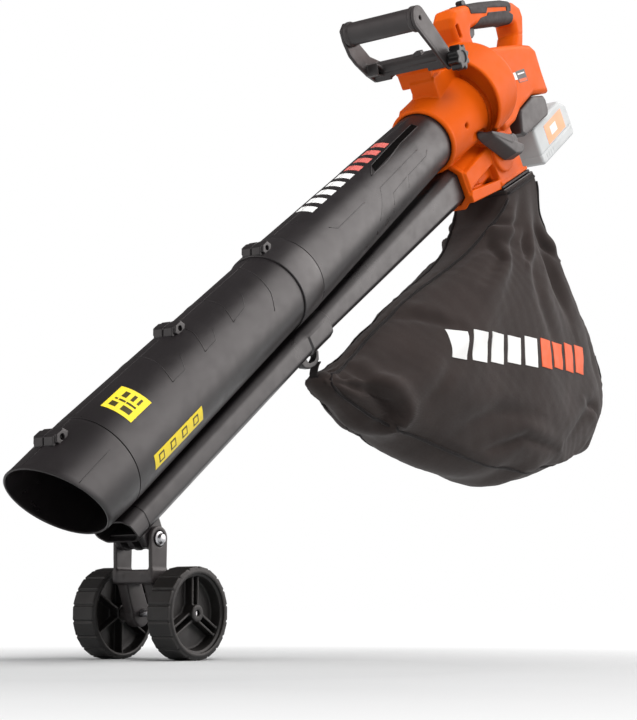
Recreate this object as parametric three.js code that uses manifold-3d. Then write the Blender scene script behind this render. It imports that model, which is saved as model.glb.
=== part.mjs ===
// Leaf vacuum mulcher: a battery blower and vacuum with a long suction tube, a blower duct under it,
// a wheeled front carriage, a fan housing with two handles, a battery dock and a collecting bag.
// Millimetres, +Z up, +X towards the suction mouth, +Y to the machine's left.
// Machine frame: x = 0 at the wheel axle, z = 0 on the floor.
// Tube frame: a point is [s, w], the distance s back from the nozzle seam along the tube's axis
// and the height w square to that axis; its local x is -s and its local z is w.
import * as THREE from "three";
import { mergeVertices } from "three/addons/utils/BufferGeometryUtils.js";
import Module from "manifold-3d";

const wasm = await Module();
wasm.setup();
const { Manifold, Mesh: SolidMesh } = wasm;

// ---- driving dimensions -------------------------------------------------
const ORIGIN_SHIFT = 457.43; // from the wheel axle to the middle of the overall length
const TUBE_ANGLE = 0.652; // radians, the main tube's slope above the floor
const TUBE_X = 93.9; // where the tube axis crosses the nozzle seam, ahead of the axle
const TUBE_Z = 206.4;
const FIT = 0.06; // radial clearance of a running fit
const GAP = 0.3; // clearance between separate mouldings
const WALL = 3; // housing wall
const SEG = 32; // segments of large round parts
const PIN_SEG = 16; // segments of pins and bores
const BOLT_R = 3.9; // carriage and handle pivot bolts
const BOLT_HOLE_R = BOLT_R + GAP;

const WHEEL_R = 50;
const WHEEL_IN = 37.5; // inner and outer faces of each wheel
const WHEEL_OUT = 70.5;
const AXLE_Z = 50;
const AXLE_R = 4;

// Places in the tube frame
const PIVOT_S = 14; // carriage pivot
const PIVOT_W = -106.5;
const HANDLE_S = 889; // front handle pivot
const HANDLE_W = 99;
const GRIP_S = 849; // front grip axis
const GRIP_W = 177;
const SELECT_S = 980; // vacuum/blow selector shaft
const SELECT_W = -82;

// ---- solids from triangles ----------------------------------------------
function solidOf(geometry) {
  const source = geometry.index ? geometry.toNonIndexed() : geometry;
  const bare = new THREE.BufferGeometry();
  bare.setAttribute("position", source.getAttribute("position"));
  const merged = mergeVertices(bare, 1e-4);
  const corners = merged.index.array;
  const kept = [];
  // Triangles that collapsed in the merge are left out.
  for (let i = 0; i < corners.length; i += 3) {
    const [a, b, c] = corners.slice(i, i + 3);
    if (a !== b && b !== c && a !== c) kept.push(a, b, c);
  }
  return new Manifold(
    new SolidMesh({
      numProp: 3,
      vertProperties: merged.attributes.position.array,
      triVerts: new Uint32Array(kept),
    }),
  );
}

function trianglesOf(positions) {
  const geometry = new THREE.BufferGeometry();
  return geometry.setAttribute("position", new THREE.Float32BufferAttribute(positions, 3));
}

function geometryOf(solid) {
  const { triVerts, vertProperties, numProp } = solid.getMesh();
  const positions = new Float32Array(triVerts.length * 3);
  for (let i = 0; i < triVerts.length; i++)
    for (let k = 0; k < 3; k++)
      positions[i * 3 + k] = vertProperties[triVerts[i] * numProp + k];
  const geometry = trianglesOf(positions);
  geometry.computeVertexNormals();
  return geometry;
}

function turnedInsideOut(geometry) {
  const flipped = geometry.index ? geometry.toNonIndexed() : geometry.clone();
  const position = flipped.getAttribute("position");
  for (let i = 0; i < position.count; i += 3)
    for (const axis of ["X", "Y", "Z"]) {
      const value = position["get" + axis](i + 1);
      position["set" + axis](i + 1, position["get" + axis](i + 2));
      position["set" + axis](i + 2, value);
    }
  return flipped;
}

// A solid whose faces point outwards, whichever way the geometry was wound.
function outwardSolid(geometry) {
  const solid = solidOf(geometry);
  return solid.volume() < 0 ? solidOf(turnedInsideOut(geometry)) : solid;
}

const join = (...solids) => solids.flat().reduce((a, b) => a.add(b));
const cut = (body, ...tools) => tools.flat().reduce((rest, tool) => rest.subtract(tool), body);
const mirrored = (solid) => solid.mirror([0, 1, 0]); // to the machine's other side
const bothSides = (solid) => solid.add(mirrored(solid));

// ---- outlines -----------------------------------------------------------
function areaOf(points) {
  return points.reduce((total, p, i) => {
    const q = points[(i + 1) % points.length];
    return total + (p[0] * q[1] - q[0] * p[1]) / 2;
  }, 0);
}

// A polygon moved inwards along its corner bisectors.
function inset(points, distance) {
  const n = points.length;
  const turn = Math.sign(areaOf(points));
  const inward = (from, to) => {
    const length = Math.hypot(to[0] - from[0], to[1] - from[1]);
    return [(-(to[1] - from[1]) / length) * turn, ((to[0] - from[0]) / length) * turn];
  };
  return points.map((p, i) => {
    const before = inward(points[(i + n - 1) % n], p);
    const after = inward(p, points[(i + 1) % n]);
    // The floor keeps sharp corners from running away.
    const spread = Math.max(0.4, 1 + before[0] * after[0] + before[1] * after[1]);
    return [0, 1].map((k) => p[k] + (distance * (before[k] + after[k])) / spread);
  });
}

// Points on an arc, in steps from one angle to another.
const arc = ([x, z], radius, from, to, steps) =>
  Array.from({ length: steps + 1 }, (_, i) => {
    const angle = from + ((to - from) * i) / steps;
    return [x + radius * Math.cos(angle), z + radius * Math.sin(angle)];
  });

// Two round ends joined by straight sides.
function capsule(start, startRadius, end, endRadius) {
  const angle = Math.atan2(end[1] - start[1], end[0] - start[0]);
  const quarter = Math.PI / 2;
  return [
    ...arc(start, startRadius, angle + quarter, angle + 3 * quarter, 10),
    ...arc(end, endRadius, angle - quarter, angle + quarter, 10),
  ];
}

// ---- shapes in either frame ---------------------------------------------
// A prism with an [x, z] outline and chamfered long edges. Its width y is half a width about
// the middle plane, or a [from, to] pair.
function prism(outline, y, bevel = 0) {
  const [y0, y1] = Array.isArray(y) ? y : [-y, y];
  const loop = areaOf(outline) < 0 ? [...outline].reverse() : outline;
  const small = bevel ? inset(loop, bevel) : loop;
  const rows = bevel
    ? [[small, y0], [loop, y0 + bevel], [loop, y1 - bevel], [small, y1]]
    : [[loop, y0], [loop, y1]];
  const n = loop.length;
  const positions = [];
  const add = (...corners) => {
    for (const [[points, depth], j] of corners)
      positions.push(points[j % n][0], depth, points[j % n][1]);
  };
  for (let i = 0; i + 1 < rows.length; i++)
    for (let j = 0; j < n; j++) {
      add([rows[i], j], [rows[i + 1], j + 1], [rows[i], j + 1]);
      add([rows[i], j], [rows[i + 1], j], [rows[i + 1], j + 1]);
    }
  const first = rows[0];
  const last = rows[rows.length - 1];
  const flatLoop = loop.map(([x, z]) => new THREE.Vector2(x, z));
  for (const [i, j, k] of THREE.ShapeUtils.triangulateShape(flatLoop, [])) {
    add([first, i], [first, j], [first, k]);
    add([last, k], [last, j], [last, i]);
  }
  return outwardSolid(trianglesOf(positions));
}

// A body of revolution about the x axis from [x, radius] pairs given as a closed loop.
function turnedX(loop, segments = SEG) {
  const ordered = areaOf(loop) > 0 ? [...loop].reverse() : loop;
  const points = ordered.map(([x, radius]) => new THREE.Vector2(radius, x));
  points.push(points[0].clone());
  return outwardSolid(new THREE.LatheGeometry(points, segments).rotateZ(-Math.PI / 2));
}

// The same about an axis along y through [x, z], from [y, radius] pairs.
const turnedY = (loop, [x, z], segments = PIN_SEG) =>
  turnedX(loop, segments).rotate([0, 0, 90]).translate([x, 0, z]);
const pinY = (centre, [y0, y1], radius, segments = PIN_SEG) =>
  turnedY([[y0, 0], [y1, 0], [y1, radius], [y0, radius]], centre, segments);

const box = ([x0, x1], [y0, y1], [z0, z1]) =>
  solidOf(
    new THREE.BoxGeometry(x1 - x0, y1 - y0, z1 - z0)
      .translate((x0 + x1) / 2, (y0 + y1) / 2, (z0 + z1) / 2),
  );

// A closed skin over a row of matching loops of [x, y, z] points.
function loft(loops) {
  const n = loops[0].length;
  const positions = [];
  const add = (...corners) => positions.push(...corners.flat());
  for (let i = 0; i + 1 < loops.length; i++)
    for (let j = 0; j < n; j++) {
      const k = (j + 1) % n;
      add(loops[i][j], loops[i + 1][j], loops[i + 1][k]);
      add(loops[i][j], loops[i + 1][k], loops[i][k]);
    }
  const middle = (loop) =>
    loop.reduce((sum, point) => sum.map((v, axis) => v + point[axis] / n), [0, 0, 0]);
  const first = loops[0];
  const last = loops[loops.length - 1];
  for (let j = 0; j < n; j++) {
    const k = (j + 1) % n;
    add(middle(first), first[j], first[k]);
    add(middle(last), last[k], last[j]);
  }
  return outwardSolid(trianglesOf(positions));
}

// A sixteen-sided bore that clears a turning sixteen-sided shaft.
const running = (radius) => (radius + FIT) / Math.cos(Math.PI / PIN_SEG);

// ---- shapes in the tube frame -------------------------------------------
const tubePoint = ([s, w]) => [-s, w];
const tubePoints = (list) => list.map(tubePoint);

// A tube-frame point as [x, z] in the machine frame.
const machinePoint = (s, w) => [
  TUBE_X - s * Math.cos(TUBE_ANGLE) + w * Math.sin(TUBE_ANGLE),
  TUBE_Z + s * Math.sin(TUBE_ANGLE) + w * Math.cos(TUBE_ANGLE),
];

// A prism from an [s, w] outline; y and bevel as for prism.
const plate = (outline, y, bevel) => prism(tubePoints(outline), y, bevel);
const block = ([s0, s1], [w0, w1], y, bevel) =>
  plate([[s0, w0], [s1, w0], [s1, w1], [s0, w1]], y, bevel);
// Turned about the tube's axis, from [s, radius] pairs.
const turned = (loop, segments) => turnedX(tubePoints(loop), segments);
const rod = ([s0, s1], radius, segments) =>
  turned([[s0, 0], [s1, 0], [s1, radius], [s0, radius]], segments);
const pipe = (outer, inner) => turned([...outer, ...[...inner].reverse()]);
// A twelve-sided cylinder standing square to the tube, centred at [s, w].
const upright = (s, w, radius, height) =>
  solidOf(
    new THREE.CylinderGeometry(radius, radius, height, 12)
      .rotateX(Math.PI / 2)
      .translate(-s, 0, w),
  );

// An eight-sided duct between stations [s, half width, top, bottom, corner].
const duct = (stations) =>
  loft(
    stations.map(([s, half, top, bottom, corner]) => [
      [-s, -half + corner, top],
      [-s, half - corner, top],
      [-s, half, top - corner],
      [-s, half, bottom + corner],
      [-s, half - corner, bottom],
      [-s, -half + corner, bottom],
      [-s, -half, bottom + corner],
      [-s, -half, top - corner],
    ]),
  );

const HANDLE_AT = tubePoint([HANDLE_S, HANDLE_W]);
const GRIP_AT = tubePoint([GRIP_S, GRIP_W]);
const SELECT_AT = tubePoint([SELECT_S, SELECT_W]);
const AXLE_AT = [0, AXLE_Z];
const PIVOT_AT = machinePoint(PIVOT_S, PIVOT_W);

// ---- finishes -----------------------------------------------------------
const FINISH = {
  orange: { color: 0xf0642a, roughness: 0.42, metalness: 0 },
  black: { color: 0x38343a, roughness: 0.38, metalness: 0 },
  grey: { color: 0x504d4f, roughness: 0.5, metalness: 0 },
  rubber: { color: 0x464344, roughness: 0.8, metalness: 0 },
  fabric: { color: 0x3c3534, roughness: 0.95, metalness: 0 },
  pale: { color: 0xc9c9c7, roughness: 0.45, metalness: 0 },
  steel: { color: 0x9a9b9d, roughness: 0.3, metalness: 0.95 },
  brass: { color: 0xb99a52, roughness: 0.3, metalness: 0.9 },
  board: { color: 0x1f5a3a, roughness: 0.6, metalness: 0 },
  white: { color: 0xd8d8d6, roughness: 0.5, metalness: 0 },
};

// ---- main tube ----------------------------------------------------------
const NOZZLE_SCREW_S = -38;
const JOINT_SCREW_S = 396;
const SCREW_R = 1.9;
const SCREW_HEIGHT = 2;
const SCREW_HOLE_R = 2.1;
const SCREW_HOLE_DEPTH = 5;

// A raised pad on top of the tube, with sloping ends.
const boss = ([s0, s1], [w0, w1]) =>
  plate([[s0, w0], [s0 + 5, w1], [s1 - 5, w1], [s1, w0]], 12, 1.5);
const smallScrew = (s, w) => upright(s, w, SCREW_R, SCREW_HEIGHT);
const screwHole = (s, w) => upright(s, w, SCREW_HOLE_R, SCREW_HOLE_DEPTH);

function upperTube() {
  const tube = pipe(
    [[380, 55.4], [428, 55.2], [429, 54.7], [842, 44.9], [880, 44.9]],
    [[380, 53.25], [431, 53.25], [433, 52.2], [842, 42.4], [880, 42.4]],
  );
  const pad = boss([JOINT_SCREW_S - 13, JOINT_SCREW_S + 13], [54, 60.5]);
  return cut(join(tube, pad), screwHole(JOINT_SCREW_S, 59.5));
}

function lowerTube() {
  const tube = pipe(
    [[GAP / 2, 58.8], [374, 53.1], [428, 52.9]],
    [[GAP / 2, 56.35], [32, 56.3], [34, 55.2], [428, 50.4]],
  );
  return join(tube, boss([180, 206], [54.6, 61]));
}

// The mouth is cut off on a slant; a thinner spigot enters the lower tube.
function suctionNozzle() {
  const tube = pipe(
    [[-110, 57], [-GAP / 2, 58.8], [-0.14, 56], [30, 56]],
    [[-110, 54.2], [-2, 54.2], [30, 53.6]],
  );
  const pad = boss([NOZZLE_SCREW_S - 12, NOZZLE_SCREW_S + 12], [56.4, 62.5]);
  const mouthS = -70.3; // where the slant crosses the tube's axis
  const slant = [[mouthS + 32, -80], [mouthS - 32, 80], [-200, 80], [-200, -80]];
  return cut(join(tube, pad), plate(slant, 80), screwHole(NOZZLE_SCREW_S, 61.5));
}

// ---- blower tube --------------------------------------------------------
function blowerTubeUpper() {
  const outer = duct([
    [395, 27, -59, -89.5, 8],
    [446, 27, -58.6, -91, 8],
    [842, 27, -52.4, -108.4, 11],
    [905, 27, -52.4, -109.5, 11],
  ]);
  const inner = duct([
    [390, 24.8, -61.2, -87.3, 7],
    [446, 24.8, -60.8, -88.8, 7],
    [842, 24.8, -54.6, -106.2, 10],
    [910, 24.8, -54.6, -107.3, 10],
  ]);
  return cut(outer, inner);
}

// Widened at the back to sleeve the upper duct, with the carriage lug under its front end.
function blowerTubeLower() {
  const outer = duct([
    [-24, 30, -60.6, -92.5, 8],
    [0, 30, -59.6, -92.5, 8],
    [376, 30, -56.4, -92.5, 8],
    [388, 30, -56.3, -92.5, 8],
    [389, 31.6, -56.3, -94.2, 9],
    [440, 31.6, -56.1, -95.6, 9],
  ]);
  const inner = duct([
    [-30, 27.6, -62.8, -90.2, 7],
    [0, 27.6, -62, -90.2, 7],
    [374, 27.6, -58.7, -90.2, 7],
    [392, 27.4, -58.6, -89.9, 7.8],
    [446, 27.4, -58.2, -91.5, 7.8],
  ]);
  const lug = plate(
    [[-4, -91], [34, -91], [30, -108], [22, -115], [6, -115], [-1, -106]],
    22.4, 1,
  );
  const pivotHole = pinY(tubePoint([PIVOT_S, PIVOT_W]), [-30, 30], BOLT_HOLE_R);
  const slantedMouth = plate([[-40, -50], [-22, -50], [-10, -100], [-40, -100]], 40);
  return cut(join(outer, lug), inner, pivotHole, slantedMouth);
}

// The hook that carries the bag's front ring, on a foot under the duct.
function bagHook() {
  const hook = [
    [384, -98], [398, -98], [402, -110], [418, -114], [424, -106], [429, -108],
    [422, -119], [400, -117], [388, -110],
  ];
  return join(block([372, 437], [-96, -99.5], 10, 0.6), plate(hook, 5, 0.8));
}

// ---- carriage, in the machine frame -------------------------------------
function carriageBracket() {
  const [x, z] = PIVOT_AT;
  const arm = [
    ...arc(PIVOT_AT, 13.6, -0.2, Math.PI + 0.2, 8),
    [x - 13, 84],
    [x + 12, 84],
  ];
  const leg = [
    [x - 14, 96], [x - 14, 90], [-15, 62],
    ...arc(AXLE_AT, 15, Math.PI, 2 * Math.PI, 6),
    [16, 62], [x + 12, 90], [x + 12, 96],
  ];
  const bridge = [[x - 14, 82], [x + 12, 82], [x + 12, 97], [x - 14, 97]];
  return cut(
    join(
      bothSides(prism(arm, [23, 28], 0.8)),
      prism(bridge, 29, 1.5),
      bothSides(prism(leg, [12, 26], 1.5)),
    ),
    pinY(AXLE_AT, [-40, 40], AXLE_R + GAP),
    pinY([x, z], [-40, 40], BOLT_HOLE_R),
  );
}

// The left spacer, between the bracket and the wheel.
function axleSpacer() {
  const bore = AXLE_R + GAP;
  return turnedY([[28, bore], [37.2, bore], [37.2, 8], [28, 8]], AXLE_AT);
}

// Domed head on the left.
const pivotBolt = () =>
  turnedY(
    [[-36, 0], [34.5, 0], [34, 3.5], [32, 6], [28.3, 7], [28.3, BOLT_R], [-36, BOLT_R]],
    PIVOT_AT,
  );

// Hexagon nut on the right.
const pivotNut = () =>
  cut(pinY(PIVOT_AT, [-34, -28.3], 7.5, 6), pinY(PIVOT_AT, [-40, 0], BOLT_HOLE_R));

// The left wheel: rim, web, hub, three pairs of spokes and sixteen tread blocks.
function wheel() {
  const rimIn = WHEEL_IN + 1.5; // the rim's chamfers and the tread stop short of the faces
  const rimOut = WHEEL_OUT - 1.5;
  const hubIn = WHEEL_IN + 0.5;
  const ring = (loop) => turnedY(loop, AXLE_AT, SEG);
  const rim = ring([
    [WHEEL_IN, 38], [WHEEL_IN, 45.5], [rimIn, 47], [rimOut, 47],
    [WHEEL_OUT, 45.5], [WHEEL_OUT, 41], [66, 38],
  ]);
  const web = ring([[52, 5], [56, 5], [56, 39], [52, 39]]);
  const hub = ring([[hubIn, 5], [rimOut, 5], [rimOut, 8.6], [67.6, 9.4], [hubIn, 9.4]]);
  const aroundAxle = (solid, degrees) =>
    solid.rotate([0, degrees, 0]).translate([0, 0, AXLE_Z]);
  const spokes = [];
  for (let i = 0; i < 3; i++)
    for (const z of [-6, 4])
      spokes.push(aroundAxle(box([7, 39.5], [46, 66], [z, z + 2.4]), -90 - 120 * i));
  const block = prism(
    [[44, -7.2], [WHEEL_R - 0.6, -7], [WHEEL_R, -4.5], [WHEEL_R, 4.5], [WHEEL_R - 0.6, 7], [44, 7.2]],
    [rimIn, rimOut],
  );
  const tread = Array.from({ length: 16 }, (_, i) => aroundAxle(block, (360 * i) / 16 + 90));
  return cut(
    join(rim, web, hub, spokes, tread),
    pinY(AXLE_AT, [30, 67], running(AXLE_R)),
    pinY(AXLE_AT, [60, 80], 3),
  );
}

// ---- fan and motor ------------------------------------------------------
const FAN_R = 53.5;
const SHAFT_R = 4;
const CAN_FRONT = 1016; // the motor can's ends along the tube axis
const CAN_REAR = 1098;
const BEARING_R = 9;
const BEARING_WIDTH = 4.5;

// One swept-back blade of even thickness, as an [x, y] section extruded backwards.
function fanBlade() {
  const root = 9;
  const reach = FAN_R - 1.5 - root;
  const thickness = 2.2;
  const leading = [];
  const trailing = [];
  for (let j = 0; j <= 4; j++) {
    const radius = root + (j / 4) * reach;
    const angle = -0.75 * (j / 4) ** 1.3;
    const other = angle + thickness / radius;
    leading.push(new THREE.Vector2(radius * Math.cos(angle), radius * Math.sin(angle)));
    trailing.push(new THREE.Vector2(radius * Math.cos(other), radius * Math.sin(other)));
  }
  const geometry = new THREE.ExtrudeGeometry(
    new THREE.Shape([...leading, ...trailing.reverse()]),
    { depth: 27, bevelEnabled: false },
  );
  // Extrusion runs along +z, turned to run along -x.
  return solidOf(geometry.rotateY(-Math.PI / 2).translate(-967, 0, 0));
}

function impeller() {
  const bore = SHAFT_R + GAP;
  const disc = turned([
    [993, bore], [997, bore], [997, FAN_R], [995, FAN_R],
    [992, 40], [989, 14], [965, 11], [965, bore],
  ]);
  const blades = Array.from({ length: 8 }, (_, i) => fanBlade().rotate([45 * i, 0, 0]));
  return cut(join(disc, blades), rod([950, 1000], bore, PIN_SEG));
}

const motorShaft = () =>
  turned(
    [[955, 0], [1104, 0], [1104, SHAFT_R], [964.5, SHAFT_R], [964, 3.2], [955, 3.2]],
    PIN_SEG,
  );

const impellerNut = () => cut(rod([958, 963.7], 7, 6), rod([950, 970], 3.6, 12));

function motorCan() {
  const seat = BEARING_R + GAP;
  return cut(
    turned([
      [CAN_FRONT, 0], [CAN_REAR, 0], [CAN_REAR, 29],
      [CAN_REAR - 4, 31], [CAN_FRONT + 4, 31], [CAN_FRONT, 29],
    ]),
    rod([1000, 1110], 4.6, PIN_SEG),
    rod([1010, CAN_FRONT + 5], seat, PIN_SEG),
    rod([CAN_REAR - 5, 1110], seat, PIN_SEG),
  );
}

function bearing(s) {
  const bore = running(SHAFT_R);
  const rear = s + BEARING_WIDTH;
  return turned([[s, bore], [rear, bore], [rear, BEARING_R], [s, BEARING_R]], PIN_SEG);
}

// ---- housing ------------------------------------------------------------
// Side outlines as [s, w] points
const BODY_OUTLINE = [
  [1000, 66], [1045, 60], [1100, 42], [1145, 24], [1166, 15], [1179, 2],
  [1177, -30], [1178, -62], [1140, -55], [1046, -52], [1000, -58],
];
const HANDLE_OUTLINE = [
  [1006, 60], [1006, 112], [1012, 126], [1026, 134], [1060, 128], [1114, 113], [1180, 92],
  [1214, 77], [1231, 62], [1231, 45], [1214, 22], [1196, 2], [1176, -12], [1120, 0],
];
const HANDLE_HOLLOW = [
  [1010, 64], [1010, 110], [1016, 122], [1027, 129.5], [1060, 123.5], [1114, 108.5],
  [1180, 87.5], [1212, 73], [1226, 60], [1226, 46], [1210, 25], [1190, 4], [1188, 20],
  [1199, 34], [1199, 50], [1186, 60], [1122, 79.5], [1060, 98.5], [1047, 93], [1047, 64],
];
const HANDLE_OPENING = [
  [1052, 64], [1052, 88], [1060, 93], [1120, 74], [1184, 54], [1194, 46],
  [1190, 34], [1168, 17], [1144, 22], [1100, 40],
];
const SCROLL_SHIFT = [0, 13, 8]; // the fan chamber sits off the tube's axis
const SELECT_R = 5; // selector shaft
const SELECT_FACE = 45.8; // flat face behind the selector lever
const COLLAR_SCREW_AT = tubePoint([905, 0]);

const housingOutside = () =>
  join(
    // collar round the main tube
    turned([[842, 0], [842, 50], [880, 51.5], [930, 55], [975, 60], [975, 0]]),
    // fan chamber
    turned([
      [957, 0], [957, 40], [945, 62], [938, 71], [939, 74], [1002, 74], [1012, 68], [1012, 0],
    ]).translate(SCROLL_SHIFT),
    plate(BODY_OUTLINE, 48, 10),
    plate(HANDLE_OUTLINE, 19, 7),
    // pillar under the front handle, with its pivot ear
    plate([[880, 40], [880, 76], [884, 80], [914, 80], [932, 74], [965, 74], [965, 40]], 30, 2),
    block([HANDLE_S - 5, HANDLE_S + 5], [70, 92], 27),
    pinY(HANDLE_AT, [-27, 27], 9),
    // outlet duct down to the bag flange
    plate([[944, -48], [1034, -48], [1034, -137], [1020, -136], [953, -126], [944, -110]], 40, 3),
    // socket for the blower tube, and its lip
    duct([[862, 34, -46, -118, 12], [966, 36, -46, -121, 12]]),
    duct([[859, 37, -46, -121, 13], [864, 37, -46, -121, 13]]),
    // selector boss
    pinY(SELECT_AT, [38, SELECT_FACE], 31, 24),
    // bag flange
    plate([[949, -120], [1040, -134], [1040, -139.5], [949, -125.5]], 42, 1),
  );

const housingHollow = () => [
  // tube socket and inlet
  turned([
    [838, 0], [838, 45.4], [881, 45.4], [881.2, 42], [940, 42], [963, 44], [963, 0],
  ]),
  // fan chamber
  turned([
    [961, 0], [961, 42], [949, 64], [949, 67], [953, 70.5], [1003, 70.5], [1003, 0],
  ]).translate(SCROLL_SHIFT),
  plate(inset(BODY_OUTLINE, WALL).map(([s, w]) => [Math.max(s, 1012), w]), 45, 9),
  plate(HANDLE_HOLLOW, 15.5, 6),
  // air path: fan chamber down to the flange, and forward into the blower tube
  plate(
    [[950, -30], [1003, -30], [1030, -60], [1030, -150], [952, -150], [948, -112], [948, -60]],
    36.5,
  ),
  duct([[850, 27.4, -52, -109.9, 11], [906, 27.4, -52, -109.9, 11]]),
  duct([[905, 25, -54, -108, 10], [955, 25, -54, -108, 10]]),
  plate(HANDLE_OPENING, 40),
  pinY(HANDLE_AT, [-40, 40], BOLT_HOLE_R),
  pinY(SELECT_AT, [-60, 60], running(SELECT_R)),
  // flat land that clears the selector lever
  plate(
    [[900, -18], [930, -24], [990, -62], [1014, -74], [1014, -118], [900, -118]],
    [SELECT_FACE, 90],
  ),
  pinY(SELECT_AT, [SELECT_FACE, 90], 36, 24),
  // slots: trigger, lock button, strap, rear air vents
  plate([[1058, 84], [1092, 74], [1092, 92], [1058, 100]], 6),
  block([1074, 1090], [112, 140], 6),
  block([1024, 1030], [92, 114], 30),
  ...[-14, -24, -34].map((w) => block([1168, 1190], [w, w + 4], 28)),
  // collar screw well
  pinY(COLLAR_SCREW_AT, [40, 70], 4.4),
];

function housingShell() {
  const bulkheads = join(block([1011, 1016], [-50, 60], 44), block([1060, 1064], [-50, 50], 44));
  const motorHole = rod([1000, 1120], 31.6);
  return cut(
    join(cut(housingOutside(), housingHollow()), cut(bulkheads, motorHole)),
    // shaft hole, and a slot under the first bulkhead
    rod([1000, 1030], 10.5, 24),
    block([1000, 1070], [-44, -60], 8),
  );
}

// The largest piece of the shell on one side of the parting plane.
function housingHalf(shell, yRange) {
  const side = shell.intersect(box([-1400, 0], yRange, [-400, 400]));
  return side.decompose().reduce((a, b) => (b.volume() > a.volume() ? b : a));
}

const housingScrew = () =>
  turnedY([[40.5, 0], [47, 0], [47, 3.6], [44.5, 3.9], [40.5, 3.9]], COLLAR_SCREW_AT);

// A ring round the sloping outlet, given by half width, ends, and top and bottom at its front.
function outletRing(half, [s0, s1], [top, bottom]) {
  const drop = (s1 - s0) * 0.1538;
  return cut(
    plate([[s0, top], [s1, top - drop], [s1, bottom - drop], [s0, bottom]], half),
    block([952.5, 1029.5], [-90, -190], 36),
  );
}

// ---- rear grip and its controls -----------------------------------------
const rearGripCover = () =>
  cut(
    plate(
      [[1096, 119.9], [1114, 115.2], [1180, 94.2], [1212, 79.6], [1200, 60], [1180, 69], [1112, 90]],
      21.5, 5,
    ),
    plate(
      [[1080, 60], [1080, 123], [1114, 113.3], [1180, 92.3], [1220, 74.5], [1220, 50]],
      19.3, 7.1,
    ),
  );

const trigger = () =>
  plate([[1061, 96], [1090, 88], [1088, 76], [1078, 72], [1066, 74], [1060, 82]], 5.2, 1);

const triggerSwitch = () => plate([[1094, 100], [1122, 92], [1120, 82], [1094, 90]], 8, 0.6);

const lockButton = () =>
  plate(
    [[1075, 118], [1089, 118], [1088, 131], [1085, 133.5], [1079, 134.8], [1075.6, 133]],
    5.4, 1,
  );

const controlBoard = () => plate([[1108, 5], [1156, -6], [1156, -8], [1108, 3]], 30);

// ---- selector -----------------------------------------------------------
const selectorLever = () =>
  plate(
    [
      [918, -24], [926, -27], [988, -66], [1008, -78], [1012, -88], [1004, -100],
      [990, -102], [966, -92], [920, -42], [914, -32],
    ],
    [46.6, 60], 2.5,
  );

// Barrel valve: a part-drum that closes the blower socket, or turns to close the way to the bag.
function diverterDrum() {
  const half = (55 * Math.PI) / 180;
  // A ring sector open to the rear, in local [x, z]; it spans the angles either side of +x.
  const sector = (inner, outer) => [
    ...arc(SELECT_AT, outer, -half, half, 8),
    ...arc(SELECT_AT, inner, half, -half, 8),
  ];
  const drum = join(
    prism(sector(28.5, 31), 34),
    bothSides(prism(sector(4, 29), [31.5, 34])),
    bothSides(pinY(SELECT_AT, [29, 34], 8.5)),
  );
  return cut(drum, pinY(SELECT_AT, [-50, 50], SELECT_R + GAP));
}

// ---- front handle -------------------------------------------------------
const ARM_IN = 57; // inner and outer faces of the two handle arms
const ARM_OUT = 62;
const GRIP_SCREW_R = 2.7;

function frontHandleFrame() {
  const leftArm = capsule([GRIP_S, GRIP_W], 18, [HANDLE_S, HANDLE_W], 14);
  const rightArm = [
    [GRIP_S - 17, GRIP_W - 4], [GRIP_S - 14, GRIP_W + 12], [GRIP_S, GRIP_W + 18],
    [GRIP_S + 14, GRIP_W + 11], [GRIP_S + 19, GRIP_W - 22], [GRIP_S + 33, GRIP_W - 46],
    [904, 115], [904, 93], [876, 93], [860, 109], [842, 134], [834, 150],
  ];
  // A channel open downwards, notched over the pillar.
  const bar = cut(
    plate([[874, 93], [874, 113], [878, 116], [900, 116], [904, 113], [904, 93]], 57.5, 1),
    block([878, 900], [80, 112], 54),
    block([860, 920], [80, 98], 31),
  );
  const ribs = [32.5, 43].map((y) =>
    bothSides(block([877, 901], [94, 113], [y - 1.5, y + 1.5])),
  );
  const tab = plate([[880, 115], [894, 115], [892, 121], [882, 121]], [12, 24], 1);
  return cut(
    join(
      plate(leftArm, [ARM_IN, ARM_OUT], 1),
      plate(rightArm, [-ARM_OUT, -ARM_IN], 1),
      bar, ribs, tab,
    ),
    pinY(HANDLE_AT, [-80, 80], BOLT_HOLE_R),
    pinY(GRIP_AT, [51, 80], GRIP_SCREW_R + GAP),
  );
}

function frontGrip() {
  const end = ARM_IN - GAP;
  const sleeve = turnedY([
    [-end, 0], [end, 0], [end, 17.6], [50, 18], [47, 16.2],
    [-47, 16.2], [-50, 18], [-end, 17.6],
  ], GRIP_AT, SEG);
  return cut(sleeve, pinY(GRIP_AT, [36, 70], GRIP_SCREW_R + GAP));
}

const handleBolt = () =>
  turnedY(
    [[-68, 0], [66, 0], [66, BOLT_R], [-62.5, BOLT_R], [-62.5, 7.5], [-68, 7.5]],
    HANDLE_AT,
  );

// An eight-lobed knob on the left end of the handle bolt.
function handleKnob() {
  const lobes = Array.from({ length: 32 }, (_, i) => {
    const angle = (2 * Math.PI * i) / 32;
    const radius = 17 + 1.8 * Math.cos(8 * angle);
    return [
      HANDLE_AT[0] + radius * Math.cos(angle),
      HANDLE_AT[1] + radius * Math.sin(angle),
    ];
  });
  return cut(
    join(prism(lobes, [67, 84], 2.5), pinY(HANDLE_AT, [62.6, 68], 11, 24)),
    pinY(HANDLE_AT, [46, 66.3], BOLT_HOLE_R),
  );
}

// ---- battery ------------------------------------------------------------
const batteryDock = () =>
  cut(
    plate(
      [
        [1052, -78], [1064, -60], [1072, -55.5], [1139, -57.5], [1160, -70],
        [1160, -92], [1154, -96.5], [1062, -93], [1052, -86],
      ],
      46, 4,
    ),
    // T-shaped guide for the pack's rail
    block([1100, 1175], [-80, -94.4], 20),
    block([1106, 1175], [-90, -110], 13.2),
  );

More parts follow.
